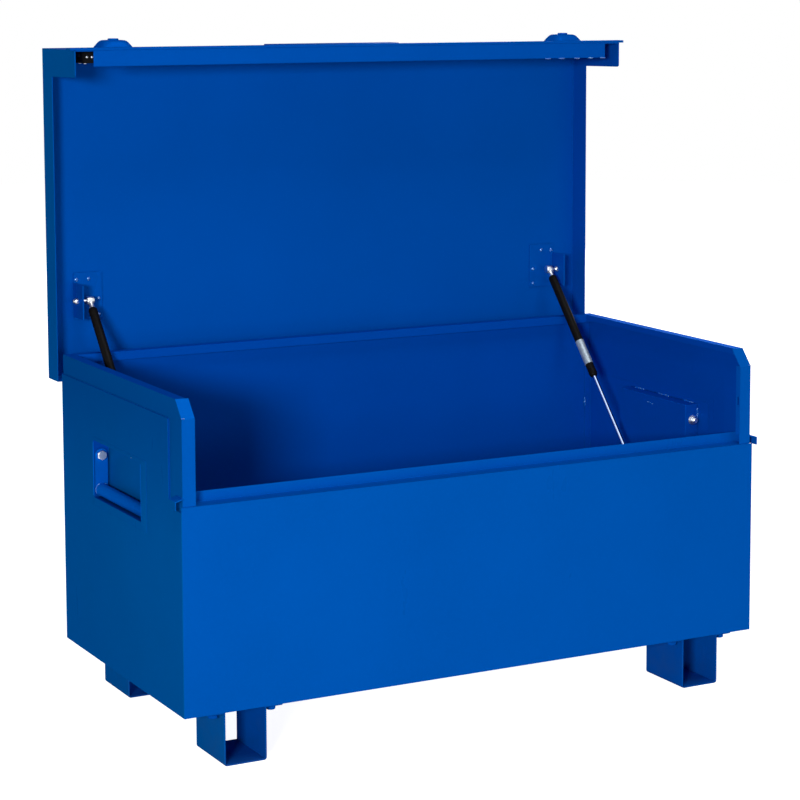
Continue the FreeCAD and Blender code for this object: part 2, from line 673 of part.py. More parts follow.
def hinge_pin(tag, x):
    at = ("hinge_y", "hinge_z")
    low = x + " - hinge_half - pin_over"
    high = x + " + hinge_half + pin_over"
    return join("hinge_pin_" + tag, [
        bar("pin_shank_" + tag, "x", low, high, at, "pin_radius"),
        bar("pin_head_low_" + tag, "x", low + " - pin_radius", low, at, "1.6 * pin_radius"),
        bar("pin_head_high_" + tag, "x", high, high + " + pin_radius", at, "1.6 * pin_radius"),
    ])


def build_hinges():
    stations = (("left", "-hinge_pitch"), ("middle", "0"), ("right", "hinge_pitch"))
    node(group("body_leaf_set", [body_leaf(t, x) for t, x in stations]), "hinge_body_leaves")
    node(group("hinge_pin_set", [hinge_pin(t, x) for t, x in stations]), "hinge_pins")
    leaves = group("lid_leaf_set", [lid_leaf(t, x) for t, x in stations])
    node(on_lid(leaves), "hinge_lid_leaves")


def build_lid():
    """Top sheet with its flanges and cheeks, skirt with its rail, edge strip, blank plate."""
    across = ("left_x", "-left_x")
    along = ("lid_front", "lid_rear")
    left = ("left_x", "left_x + sheet")
    right = ("-left_x - sheet", "-left_x")
    low = "skirt_low + cheek_short"
    narrow = "lid_front + cheek_width - cheek_taper"
    outline = [("lid_front", low), ("lid_front", "lid_up"),
               ("lid_front + cheek_width", "lid_up"), ("lid_front + cheek_width", "lid_edge")]
    outline += reversed(rounded(narrow, low, "-1", "1"))
    cheek = profile("lid_cheek", SIDE_PLANE, ("left_x", "0", "0"), outline, "sheet")
    parts = [
        box("lid_plate", across, along, ("lid_under", "lid_up")),
        box("lid_rear_flange", across, ("lid_rear - sheet", "lid_rear"), ("lid_edge", "lid_up")),
        box("lid_flange_left", left, along, ("lid_edge", "lid_up")),
        box("lid_flange_right", right, along, ("lid_edge", "lid_up")),
        cheek, mirror("lid_cheek_mirror", cheek),
    ]
    node(on_lid(join("lid_sheet", parts)), "lid_top")
    skirt = join("skirt_sheet", [
        box("skirt_face", ("left_x + sheet", "-left_x - sheet"),
            ("lid_front", "lid_front + sheet"), ("skirt_low", "lid_under")),
        box("skirt_rail", ("left_x + rail_cut", "-left_x - rail_cut"),
            ("lid_front", "lid_front + rail_width"), ("skirt_low", "skirt_low + sheet")),
    ])
    holes = with_mirror([
        bar("skirt_hole", "y", "lid_front - 1", "lid_front + sheet + 1", ("lock_x", "-lock_drop"),
            "plug_radius + fit_gap")])
    node(on_lid(cut("skirt_cut", skirt, holes)), "lid_skirt")
    strip = box("strip_bar", ("left_x - strip_over", "-left_x + strip_over"),
                ("lid_front - strip_proud", "lid_front"), ("skirt_low", "skirt_low + strip_width"))
    node(on_lid(group("strip_set", [strip])), "lid_edge_strip")
    blank = box("blank_bar", ("-plate_half", "plate_half"), ("lid_front - plate_thick", "lid_front"),
                ("-plate_low", "plate_rise - plate_low"))
    node(on_lid(group("blank_set", [blank])), "blank_plate")


def build_lock_covers():
    """Faceted covers round the plugs, on the skirt."""
    wedge = DOC.addObject("Part::Wedge", "cover_body")
    for prop in ("Xmin", "Zmin"):
        bind(wedge, prop, "-cover_base / 2")
    for prop in ("Xmax", "Zmax"):
        bind(wedge, prop, "cover_base / 2")
    for prop in ("X2min", "Z2min"):
        bind(wedge, prop, "-cover_face / 2")
    for prop in ("X2max", "Z2max"):
        bind(wedge, prop, "cover_face / 2")
    bind(wedge, "Ymin", "0")
    bind(wedge, "Ymax", "cover_rise")
    move(wedge, "lock_x", "lid_front", "-lock_drop", rotation=FreeCAD.Rotation(Z_AXIS, 180))
    at = ("lock_x", "-lock_drop")
    collar = bar("cover_collar", "y", "lid_front - collar_rise", "lid_front", at, "collar_radius")
    hole = bar("cover_hole", "y", "lid_front - collar_rise - 1", "lid_front + 1", at,
               "plug_radius + fit_gap")
    pair(on_lid(cut("cover_cut", join("cover_solid", [wedge, collar]), [hole])), "lock_cover")


def build_locks():
    """Plug, case and side-throwing bolt of each lock."""
    face = "lid_front - plug_rise"
    plug = bar("plug_bar", "y", face, "lid_front + plug_tail", ("lock_x", "-lock_drop"),
               "plug_radius")
    slot = box("plug_slot", ("lock_x - slot_width / 2", "lock_x + slot_width / 2"),
               (face + " - 1", face + " + slot_depth"),
               ("-lock_drop - slot_length / 2", "-lock_drop + slot_length / 2"))
    pair(on_lid(cut("plug_cut", plug, [slot])), "lock_plug")
    case = box("case_block", ("case_x", "case_x + case_length"),
               ("lid_front + sheet", "lid_front + case_depth"),
               ("-lock_drop - case_half", "-lock_drop + case_half"))
    near = "lid_front + throw_near"
    far = near + " + throw_thick"
    start = "left_x + throw_rest"
    channel = box("case_channel", ("case_x - 1", start + " + throw_length + 2"),
                  (near + " - throw_gap", far + " + throw_gap"),
                  ("-lock_drop - throw_half - throw_gap", "-lock_drop + throw_half + throw_gap"))
    bore = bar("case_bore", "y", "lid_front", "lid_front + plug_tail + 0.5",
               ("lock_x", "-lock_drop"), "plug_radius + fit_gap")
    pair(on_lid(cut("case_cut", case, [channel, bore])), "lock_case")
    throw = box("throw_bar", (start, start + " + throw_length"), (near, far),
                ("-lock_drop - throw_half", "-lock_drop + throw_half"))
    pair(on_lid(group("throw_set", [throw])), "lock_bolt")


def build_lock_screws():
    rear = "lid_front + case_depth"
    spots = [
        (x, z)
        for x in ("case_x + screw_edge", "case_x + case_length - screw_edge")
        for z in ("-lock_drop - case_half + screw_edge", "-lock_drop + case_half - screw_edge")
    ]
    heads = [bar("case_screw_{}".format(i), "y", rear, rear + " + screw_rise", spot,
                 "screw_radius") for i, spot in enumerate(spots)]
    node(on_lid(group("case_screw_set", with_mirror(heads))), "lock_screws")
    low = "-lock_drop - case_half"
    pins = [bar("end_screw_{}".format(i), "z", low + " - screw_rise", low,
                (x, "lid_front + case_depth / 2"), "pin_screw_radius")
            for i, x in enumerate(("case_x + 9", "case_x + 19"))]
    node(on_lid(group("end_screw_set", with_mirror(pins))), "lock_end_screws")


def build_lid_brackets():
    """Angle brackets under the lid, their ball studs and rivets."""
    middle = "-ball_ahead"
    inner = "bracket_x + bracket_sheet"
    base_far = "bracket_x + base_width"
    base_ahead = middle + " - base_front"
    base_behind = middle + " + base_rear"
    parts = [
        box("lid_bracket_base", ("bracket_x", base_far), (base_ahead, base_behind),
            ("lid_under - bracket_sheet", "lid_under")),
        box("lid_bracket_flange", ("bracket_x", inner),
            (middle + " - bracket_front", middle + " + bracket_rear"), ("lid_edge - 2", "lid_under")),
    ]
    hole = bar("lid_bracket_hole", "x", "bracket_x - 1", inner + " + 1", (middle, "ball_above"),
               "pin_radius + fit_gap")
    pair(on_lid(cut("lid_bracket_cut", join("lid_bracket_solid", parts), [hole])), "lid_bracket")
    at = (middle, "ball_above")
    stud = join("upper_stud_solid", [
        bar("upper_stud_shank", "x", "bracket_x - 9", inner, at, "pin_radius"),
        hexagon("upper_stud_nut", "x", "bracket_x - 7", "bracket_x", at, "1.7 * pin_radius"),
        hexagon("upper_stud_collar", "x", inner, inner + " + 6", at, "1.7 * pin_radius"),
        bar("upper_stud_neck", "x", inner, "strut_x", at, "0.75 * pin_radius"),
        ball("upper_stud_ball", "strut_x", middle, "ball_above", "ball_radius"),
    ])
    pair(on_lid(stud), "ball_stud")
    face = "lid_under - bracket_sheet"
    spots = [
        ("bracket_x + rivet_edge", base_ahead + " + rivet_edge"),
        ("bracket_x + rivet_edge + rivet_pitch", base_ahead + " + rivet_edge"),
        (base_far + " - rivet_edge", middle),
        (base_far + " - rivet_edge", base_behind + " - rivet_edge"),
    ]
    rivets = [bar("rivet_{}".format(i), "z", face + " - rivet_rise", face, spot, "rivet_radius")
              for i, spot in enumerate(spots)]
    node(on_lid(group("rivet_set", with_mirror(rivets))), "lid_rivets")


def build_strut_mounts():
    """Stepped brackets on the side skins and the studs that face the rod ends."""
    along = ("mount_y - mount_half", "mount_y + mount_half")
    low = "mount_z - mount_drop"
    high = "mount_z + mount_rise"
    wall = "left_x + sheet"
    inner = "bracket_x + bracket_sheet"
    parts = [
        box("mount_base", (wall, wall + " + bracket_sheet"), along, (low, high)),
        box("mount_shelf", (wall, inner), along, (low, low + " + bracket_sheet")),
        box("mount_upright", ("bracket_x", inner), along, (low, high)),
    ]
    at = ("mount_y", "mount_z")
    hole = bar("mount_hole", "x", "bracket_x - 1", inner + " + 1", at, "pin_radius + fit_gap")
    pair(cut("mount_cut", join("mount_solid", parts), [hole]), "strut_mount")
    stud = join("lower_stud_solid", [
        bar("lower_stud_shank", "x", "bracket_x - 9", inner, at, "pin_radius"),
        hexagon("lower_stud_nut", "x", "bracket_x - 7", "bracket_x", at, "1.7 * pin_radius"),
        hexagon("lower_stud_collar", "x", inner, inner + " + 6", at, "1.7 * pin_radius"),
        bar("lower_stud_neck", "x", inner, "strut_x - end_half - open_gap", at, "pin_radius"),
    ])
    pair(stud, "mount_stud")


def on_strut(item):
    """Put a part drawn down the -Z axis from the upper ball along the extended strut."""
    move(item, "strut_x", "ball_y", "ball_z", rotation=FreeCAD.Rotation(X_AXIS, 1))
    bind(item, "Placement.Rotation.Angle", "-strut_angle")
    return item


def build_struts():
    centre = ("0", "0")
    end = ("-end_half", "end_half")
    tube = join("tube_solid", [
        bar("tube_eye", "x", end[0], end[1], centre, "end_radius"),
        bar("tube_neck", "z", "-tube_start", "0", centre, "pin_radius + 1"),
        bar("tube_barrel", "z", "-tube_end", "-tube_start", centre, "tube_radius"),
        bar("tube_gland", "z", "-gland_end", "-tube_end", centre, "tube_radius - 0.8"),
    ])
    tools = [
        ball("tube_socket", "0", "0", "0", "ball_radius + ball_gap"),
        bar("tube_throat", "x", "-end_half - 1", "0", centre, "pin_radius - 0.2"),
        bar("tube_bore_cut", "z", "-tube_end", "-tube_start - 5", centre, "tube_bore"),
        bar("tube_gland_cut", "z", "-gland_end - 1", "-tube_end", centre, "rod_radius + ball_gap"),
    ]
    pair(on_strut(cut("tube_cut", tube, tools)), "strut_tube")
    span = ("-label_start - label_length", "-label_start")
    sleeve = bar("label_sleeve", "z", span[0], span[1], centre, "tube_radius + label_thick")
    core = bar("label_core", "z", span[0] + " - 1", span[1] + " + 1", centre, "tube_radius")
    pair(on_strut(cut("label_cut", sleeve, [core])), "strut_label")
    piston_end = "-piston_start - piston_length"
    rod = join("rod_solid", [
        bar("rod_piston", "z", piston_end, "-piston_start", centre, "tube_bore - ball_gap"),
        bar("rod_shaft", "z", "-strut_length + end_radius", piston_end, centre, "rod_radius"),
        bar("rod_neck", "z", "-strut_length", "-strut_length + 2.6 * end_radius", centre,
            "pin_radius + 1"),
        bar("rod_eye", "x", end[0], end[1], ("0", "-strut_length"), "end_radius"),
    ])
    pair(on_strut(rod), "strut_rod")


def check_and_write():
    """Refuse broken objects and empty shapes, then write one file per part."""
    for item in DOC.Objects:
        if "Invalid" in item.State or "Error" in item.State:
            raise RuntimeError("{} is {}".format(item.Name, item.State))
    os.makedirs("parts", exist_ok=True)
    for item in NODES:
        shape = item.Shape
        if shape.isNull() or not shape.isValid() or shape.Volume <= 0:
            raise RuntimeError("{} has no good shape".format(item.Label))
        shape.exportStep("parts/{}.step".format(item.Label))
        print("{:24s} {:3d} {:12.0f}".format(item.Label, len(shape.Solids), shape.Volume))


fill_sheet()
build_floor()
build_front()
build_rear()
build_sides()
build_ears()
build_tabs()
build_recesses()
build_handles()
build_handle_bolts()
build_feet()
build_foot_bolts()
build_hinges()
build_lid()
build_lock_covers()
build_locks()
build_lock_screws()
build_lid_brackets()
build_strut_mounts()
build_struts()
DOC.recompute()
check_and_write()
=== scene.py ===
"""Finish, fasteners, welds, struts, locks and studio of the steel site storage box."""

import json
import math
import random

import bmesh
import bpy
from bpy.props import FloatProperty, FloatVectorProperty, IntProperty, PointerProperty
from mathutils import Matrix, Vector


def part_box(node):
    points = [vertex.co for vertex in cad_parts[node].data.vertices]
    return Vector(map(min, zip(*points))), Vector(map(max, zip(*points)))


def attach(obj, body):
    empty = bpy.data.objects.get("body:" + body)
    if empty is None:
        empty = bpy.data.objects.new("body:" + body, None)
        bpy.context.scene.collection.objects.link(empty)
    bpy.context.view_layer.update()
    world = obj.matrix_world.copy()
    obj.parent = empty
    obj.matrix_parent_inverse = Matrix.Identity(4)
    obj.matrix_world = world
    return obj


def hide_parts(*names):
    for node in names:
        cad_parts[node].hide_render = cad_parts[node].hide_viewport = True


bl_info = {
    "name": "Site Storage Box",
    "version": (1, 0, 0),
    "blender": (4, 5, 0),
    "location": "View3D > Sidebar > Site Box",
    "description": "Dresses the packed steel box with its coat, fasteners, welds, struts and locks",
    "category": "Object",
}

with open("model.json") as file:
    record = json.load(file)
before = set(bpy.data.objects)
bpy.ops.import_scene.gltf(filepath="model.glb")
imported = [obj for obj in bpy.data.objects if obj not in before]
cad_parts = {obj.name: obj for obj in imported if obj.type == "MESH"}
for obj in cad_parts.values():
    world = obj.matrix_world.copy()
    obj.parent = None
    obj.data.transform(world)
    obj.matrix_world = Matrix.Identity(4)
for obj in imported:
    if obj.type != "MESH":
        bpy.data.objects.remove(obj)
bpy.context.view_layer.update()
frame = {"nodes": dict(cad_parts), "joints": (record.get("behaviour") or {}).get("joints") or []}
JOINTS = {joint["name"]: joint for joint in frame["joints"]}
SIDES = (("left", -1), ("right", 1))
X = Vector((1, 0, 0))
Y = Vector((0, 1, 0))
Z = Vector((0, 0, 1))
MM = 0.001

# Sheet-metal nodes that keep their own solids and get the coat and rounded folds.
BODY_SHEETS = ("floor_panel", "front_wall", "rear_wall", "side_left", "side_right", "ear_left",
               "ear_right", "side_tab_left", "side_tab_right")
LID_SHEETS = ("lid_top", "lid_skirt", "lid_edge_strip", "blank_plate")
RECESSES = ("handle_recess_left", "handle_recess_right")
FEET = ("foot_front_left", "foot_front_right", "foot_rear_left", "foot_rear_right")
BRACKETS = ("lid_bracket_left", "lid_bracket_right", "strut_mount_left", "strut_mount_right")
HINGE_LEAVES = ("hinge_body_leaves", "hinge_lid_leaves")
HINGES = (-0.430, 0.0, 0.430)

# M10 bolts and nuts of the handles and the feet, by radius, and the height of a head.
SHANK = 5 * MM
HEAD_CORNER = 9.5 * MM
HEAD_HEIGHT = 6.5 * MM
NUT_CORNER = 9.4 * MM
WASHER_EDGE = 10.5 * MM

# Zones of the coat's painted light and shade: depth of the end faces, of the front ledge and of
# the rear face, and the heights between which the end faces darken to their upper tone.
SKIN = 4.5 * MM
LEDGE = 37 * MM
REAR_SKIN = 1 * MM
SHADE_HEIGHTS = (0.42, 0.62)


# ---------------------------------------------------------------- settings

def length(name, value, about):
    """Setting for a length, given in millimetres."""
    return FloatProperty(name=name, default=value * MM, unit="LENGTH", description=about)


def paint(name, value, about):
    """Setting for a colour, given as linear values."""
    return FloatVectorProperty(name=name, subtype="COLOR", size=3, min=0, max=1, default=value,
                               description=about)


def power(name, value, about):
    """Setting for a lamp, given in watts."""
    return FloatProperty(name=name, default=value, min=0, unit="POWER", description=about)


class SiteBoxSizes(bpy.types.PropertyGroup):
    """Sizes of the details that the finish adds."""
    fold: length("Fold radius", 0.8, "Rounding of folded and cut sheet edges")
    weld: length("Weld size", 2.2, "Leg of the fillet welds")
    tack: length("Tack size", 1.3, "Leg of the short tack welds")
    ripple: length("Weld ripple", 2.4, "Pitch of the ripples along a weld")
    washer: length("Washer thickness", 1.2, "Washer under a nut")
    rim: length("Recess rim width", 3, "Flange of the handle recess above it and behind it")
    rim_front: length("Recess rim front", 24, "Flange of the handle recess in front of it")
    rim_foot: length("Recess rim foot", 14, "Flange of the handle recess below it")
    rim_height: length("Recess rim height", 1.0, "How far that flange stands off the skin")
    peel: length("Coat texture", 0.9, "Size of the orange-peel texture of the coat")


class SiteBoxColours(bpy.types.PropertyGroup):
    """Colours of the finishes."""
    coat: paint("Coat", (0.0, 0.101, 0.5), "Powder coat")
    # Painted shade: the inside of the body is the same coat, darker.
    inner: paint("Coat inside", (0.0, 0.067, 0.43), "Coat inside the body")
    # Painted shade: the lid is the same coat as the box, darker; the small parts share its tone.
    lid: paint("Coat of the lid", (0.0, 0.08, 0.44), "Coat of the lid")
    # Painted sheen and shade: the end faces are the same coat, greener and darker, and darker again
    # higher up.
    flank_shade: paint("Coat of the flanks", (0.0, 0.112, 0.4), "Coat of the end faces")
    flank_top_shade: paint("Coat of the upper flanks", (0.0, 0.085, 0.335), "Upper part of the ends")
    # Painted shade: the feet are the same coat, darker.
    feet: paint("Coat of the feet", (0.0, 0.078, 0.4), "Coat of the channel feet")
    # Painted highlight: the tone that sharp edges turn to, lighter than the coat.
    edge: paint("Coat at edges", (0.0, 0.125, 0.52), "Thin coat on sharp edges")
    zinc: paint("Zinc plate", (0.7, 0.73, 0.77), "Nuts, studs and sockets")
    bright: paint("Bright zinc", (0.88, 0.94, 1.0), "Bolts of the handles")
    # Painted reflection: the chrome is darker and bluer than bare chrome.
    chrome: paint("Chrome", (0.34, 0.43, 0.66), "Strut rods")
    steel: paint("Ground steel", (0.6, 0.6, 0.61), "Key plugs")
    dark_steel: paint("Dark steel", (0.05, 0.05, 0.055), "Lock bolts")
    black: paint("Black enamel", (0.006, 0.0055, 0.0055), "Strut tubes")
    case: paint("Black case", (0.01, 0.01, 0.011), "Lock cases")
    key_way: paint("Key way", (0.004, 0.004, 0.004), "Key ways and driver recesses")
    label: paint("Label foil", (0.33, 0.4, 0.46), "Blank sleeve on each strut")


class SiteBoxStudio(bpy.types.PropertyGroup):
    """Floor, lamps and camera."""
    floor: paint("Floor", (0.4, 0.41, 0.42), "Floor as the box sees it")
    glow: FloatProperty(name="Floor glow", default=0.93, min=0, max=1,
                        description="Share of the white floor that keeps no shadow")
    sky: FloatProperty(name="Fill", default=0.02, min=0, description="Strength of the even fill")
    key: power("Key", 318.0, "Key lamp")
    front: power("Front", 55.0, "Front lamp")
    top: power("Top", 55.0, "Top lamp")
    rear: power("Rear", 170.0, "Rear lamp")
    focal: FloatProperty(name="Focal length", default=108.439, min=10,
                         description="Camera focal length in millimetres")
    shift_x: FloatProperty(name="Shift X", default=-0.1, description="Camera shift across")
    shift_y: FloatProperty(name="Shift Y", default=-0.18, description="Camera shift up")
    seed: IntProperty(name="Seed", default=7, description="Seed of the small irregularities")


def sizes():
    return bpy.context.scene.sitebox_sizes


def colours():
    return bpy.context.scene.sitebox_colours


def studio():
    return bpy.context.scene.sitebox_studio


# ---------------------------------------------------------------- places

def mm(*levels):
    """Levels of a turned part, given in millimetres."""
    return [tuple(value * MM for value in level) for level in levels]


def ends(node, sign):
    """Outer and inner x of a node on one side of the box."""
    low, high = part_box(node)
    return (low.x, high.x) if sign < 0 else (high.x, low.x)


def frame_of(axis):
    """Two unit vectors square to an axis."""
    axis = axis.normalized()
    side = axis.cross(Z if abs(axis.z) < 0.9 else X).normalized()
    return side, axis.cross(side).normalized()


def arc(centre, side, up, radius, start, stop, step):
    """Points on an arc from start to stop, in whole degrees."""
    return [centre + (side * math.cos(a) + up * math.sin(a)) * radius
            for a in map(math.radians, range(start, stop + 1, step))]


def dome(base, rise, radius, start):
    """Levels of a dome, from an angle in degrees against its equator to its tip."""
    return [(base + rise * math.sin(a), radius * math.cos(a))
            for a in map(math.radians, range(start, 91, 10))]


# ---------------------------------------------------------------- mesh helpers

def piece(name, bm, finishes, body, replaced=None, sharp=35):
    """Turn a bmesh into a shown piece that rides on a body."""
    bmesh.ops.remove_doubles(bm, verts=bm.verts, dist=1e-7)
    bmesh.ops.recalc_face_normals(bm, faces=bm.faces)
    limit = math.radians(sharp)
    for face in bm.faces:
        face.smooth = True
    for edge in bm.edges:
        edge.smooth = len(edge.link_faces) == 2 and edge.calc_face_angle(0) < limit
    mesh = bpy.data.meshes.new(name)
    bm.to_mesh(mesh)
    bm.free()
    for finish in finishes:
        mesh.materials.append(finish_named(finish))
    made = bpy.data.objects.new(name, mesh)
    bpy.context.scene.collection.objects.link(made)
    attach(made, body)
    if replaced:
        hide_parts(replaced)


def skin(bm, loops, finish=0):
    """Join neighbouring loops of vertices with faces; a loop of one vertex is a tip."""
    for low, high in zip(loops, loops[1:]):
        count = max(len(low), len(high))
        for i in range(count):
            j = (i + 1) % count
            corners = (low[i % len(low)], low[j % len(low)],
                       high[j % len(high)], high[i % len(high)])
            unique = list(dict.fromkeys(corners))
            if len(unique) > 2:
                bm.faces.new(unique).material_index = finish


def rings(bm, centre, axis, levels, radius_at, segments, hollow=False):
    """Skin a stack of rings; levels are (distance along the axis, radius)."""
    side, up = frame_of(axis)
    axis = axis.normalized()
    stack = []
    for along, radius in levels:
        base = centre + axis * along
        if radius <= 1e-7:
            stack.append([bm.verts.new(base)])
            continue
        loop = []
        for i in range(segments):
            angle = 2 * math.pi * i / segments
            out = side * math.cos(angle) + up * math.sin(angle)
            loop.append(bm.verts.new(base + out * radius_at(angle, radius)))
        stack.append(loop)
    skin(bm, stack + stack[:1] if hollow else stack)
    for loop in (stack[0], stack[-1]):
        if len(loop) > 2 and not hollow:
            bm.faces.new(loop)


def turned(bm, centre, axis, levels, segments=40, hollow=False):
    """Turned part, or a turned ring when hollow: levels are (distance along the axis, radius)."""
    rings(bm, centre, axis, levels, lambda angle, radius: radius, segments, hollow)


def hex_head(bm, seat, axis, height, corner):
    """Bolt head or nut body with a chamfered face, standing on a seat."""
    flat = corner * math.cos(math.pi / 6)
    levels = [(0, flat * 0.97), (0.12 * height, corner), (0.74 * height, corner),
              (0.9 * height, flat * 1.02), (height, flat * 0.93), (height, flat * 0.5),
              (height * 0.985, 0)]

    def reach(angle, radius):
        """The levels cap the corners, as a turned chamfer does."""
        fold = (angle + math.pi / 6) % (math.pi / 3) - math.pi / 6
        return min(radius, flat / math.cos(fold))
    rings(bm, seat, axis, levels, reach, 72)


def washer(bm, seat, axis, thick):
    """Plain washer with softened edges, standing on a seat."""
    turned(bm, seat, axis, [
        (0, 0), (0, WASHER_EDGE * 0.97), (thick * 0.25, WASHER_EDGE), (thick * 0.8, WASHER_EDGE),
        (thick, WASHER_EDGE * 0.96), (thick, 0)])


def threaded(bm, start, axis, reach, radius):
    """Threaded end with a chamfered tip."""
    pitch = 1.25 * MM
    levels = [(0, 0), (0, radius * 0.98)]
    at = 0.3 * pitch
    while at < reach - 1.2 * pitch:
        levels += [(at, radius), (at + 0.5 * pitch, radius * 0.87)]
        at += pitch
    levels += [(reach - 0.8 * pitch, radius), (reach, radius * 0.78), (reach, 0)]
    turned(bm, start, axis, levels, 28)


def bolt(bm, seat, axis, reach, thread):
    """Hexagonal bolt: head along the axis from its seat, shank and thread the other way."""
    hex_head(bm, seat, axis, HEAD_HEIGHT, HEAD_CORNER)
    plain = reach - thread
    turned(bm, seat, -axis, [(0, 0), (0, SHANK), (plain, SHANK), (plain, 0)], 28)
    threaded(bm, seat - axis * plain, -axis, thread, SHANK * 0.99)


def nut(bm, seat, axis, height):
    """Hexagonal nut on a washer; the height is that of both."""
    thick = sizes().washer
    washer(bm, seat, axis, thick)
    hex_head(bm, seat + axis * thick, axis, height - thick, NUT_CORNER)


def tube(bm, path, radii, corners, finish=0):
    """Round tube along a polyline, with a radius at each point."""
    loops = []
    for i, (point, radius) in enumerate(zip(path, radii)):
        side, up = frame_of(path[min(i + 1, len(path) - 1)] - path[max(i - 1, 0)])
        loops.append([bm.verts.new(point + (side * math.cos(a) + up * math.sin(a)) * radius)
                      for a in (2 * math.pi * k / corners for k in range(corners))])
    skin(bm, loops, finish)
    for loop in (loops[0], loops[-1]):
        bm.faces.new(loop)


def wire(bm, path, radius):
    """Thin round wire along a polyline."""
    tube(bm, path, [radius] * len(path), 8)


def bead(bm, path, size, rng, finish=0):
    """Rippled weld bead along a polyline."""
    path = [Vector(point) for point in path]
    pitch = sizes().ripple
    points = []
    for start, end in zip(path, path[1:]):
        count = max(2, int((end - start).length / (pitch / 3)))
        points += [start.lerp(end, i / count) for i in range(count)]
    points.append(path[-1])
    travelled = 0.0
    radii = []
    for i, point in enumerate(points):
        travelled += (point - points[max(i - 1, 0)]).length
        wave = 0.9 + 0.1 * abs(math.sin(math.pi * travelled / pitch))
        to_end = min(i, len(points) - 1 - i)
        taper = (0.35, 0.75, 0.92)[to_end] if to_end < 3 else 1.0
        radii.append(size * wave * taper * (1 + rng.uniform(-0.06, 0.06)))
    tube(bm, points, radii, 10, finish)


# ---------------------------------------------------------------- finishes

class Nodes:
    """Node tree with a few shorthand builders."""

    def __init__(self, tree):
        self.tree = tree

    def feed(self, target, value):
        """Set an input to a number, a vector or a colour, or link it to an output."""
        if isinstance(value, bpy.types.NodeSocket):
            self.tree.links.new(value, target)
        else:
            target.default_value = (*value, 1) if target.type == "RGBA" else value

    def add(self, kind, inputs=None, **values):
        """New node with its options and its inputs, by name or number; gives its outputs."""
        made = self.tree.nodes.new(kind)
        for key, value in values.items():
            setattr(made, key, value)
        for key, value in (inputs or {}).items():
            self.feed(made.inputs[key], value)
        return made.outputs

    def ramp(self, source, low, high, start=0.0, end=1.0):
        """Clamped line from start, where the source is low, to end, where it is high."""
        return self.add("ShaderNodeMapRange", {
            "Value": source, "From Min": low, "From Max": high, "To Min": start,
            "To Max": end})["Result"]

    def math(self, operation, first, second):
        return self.add("ShaderNodeMath", {0: first, 1: second}, operation=operation)["Value"]

    def mix(self, factor, first, second, blend="MIX"):
        return self.add("ShaderNodeMix", {0: factor, 6: first, 7: second}, data_type="RGBA",
                        blend_type=blend)[2]

    def seen_directly(self):
        """1 where the camera, a mirror or a clear material looks at a surface."""
        rays = self.add("ShaderNodeLightPath")
        direct = self.math("MAXIMUM", rays["Is Camera Ray"], rays["Is Glossy Ray"])
        return self.math("MAXIMUM", direct, rays["Is Transmission Ray"])


class Finish(Nodes):
    """Material with a shader, in the coordinates of its object."""

    def __init__(self, name):
        self.material = bpy.data.materials.new(name)
        self.material.use_nodes = True
        super().__init__(self.material.node_tree)
        self.shader = self.tree.nodes["Principled BSDF"]
        self.place = self.add("ShaderNodeTexCoord")["Object"]

    def set(self, **values):
        """Feed the shader's inputs, named with underscores for spaces."""
        for key, value in values.items():
            self.feed(self.shader.inputs[key.replace("_", " ")], value)

    def noise(self, scale, detail=2.0, rough=0.5, stretch=None):
        place = self.place
        if stretch:
            place = self.add("ShaderNodeMapping", {"Vector": place, "Scale": stretch})["Vector"]
        return self.add("ShaderNodeTexNoise", {"Vector": place, "Scale": scale,
                                               "Detail": detail, "Roughness": rough})["Fac"]

    def bump(self, height, distance, strength=1.0, under=None):
        inputs = {"Height": height, "Distance": distance, "Strength": strength}
        if under is not None:
            inputs["Normal"] = under
        return self.add("ShaderNodeBump", inputs)["Normal"]

    def facing(self, direction):
        """How far the surface faces a direction, from -1 to 1."""
        normal = self.add("ShaderNodeNewGeometry")["Normal"]
        return self.add("ShaderNodeVectorMath", {0: normal, 1: direction},
                        operation="DOT_PRODUCT")["Value"]

    def edges(self, radius):
        """Mask that is 1 on sharp edges."""
        soft = self.add("ShaderNodeBevel", {"Radius": radius}, samples=4)["Normal"]
        return self.ramp(self.facing(soft), 0.995, 0.8)

    def crevice(self, reach, low, high):
        """Share that is 1 in the open and falls towards 0 deep in corners and gaps; it sets painted
        shade.
        """
        shut = self.add("ShaderNodeAmbientOcclusion", {"Distance": reach}, samples=4)["AO"]
        return self.ramp(shut, low, high)

    def light_zones(self, outside, inside=None, depth=SKIN):
        """Coat colour by place, as painted light and shade: outside, on the end faces and, for the
        body, within the walls.
        """
        spot = self.add("ShaderNodeSeparateXYZ", {0: self.place})
        low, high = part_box("front_wall")[0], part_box("rear_wall")[1]
        across = self.math("ABSOLUTE", spot[0], 0.0)
        outward = self.math("MULTIPLY", spot[0], self.facing(X))
        end = self.math("MULTIPLY", self.math("GREATER_THAN", outward, high.x / 2),
                        self.math("GREATER_THAN", across, high.x - depth))
        # Painted sheen and shade by place: the end faces take the greener, darker end tone, which
        # darkens further between the shade heights; past the front ledge and within the walls the
        # coat takes the darker inside tone.
        flank_shade = tuple(colours().flank_shade)
        if inside is None:
            return self.mix(end, outside, flank_shade)
        upper = self.mix(self.ramp(spot[2], *SHADE_HEIGHTS), flank_shade, tuple(colours().flank_top_shade))
        deep = self.math("MULTIPLY", self.math("SUBTRACT", 1.0, end),
                         self.math("GREATER_THAN", spot[1], low.y + LEDGE))
        deep = self.math("MULTIPLY", deep, self.math("LESS_THAN", spot[1], high.y - REAR_SKIN))
        return self.mix(deep, self.mix(end, outside, upper), inside)


def shade(colour, amount):
    """Lighter or darker colour."""
    return tuple(min(1.0, channel * amount) for channel in colour)


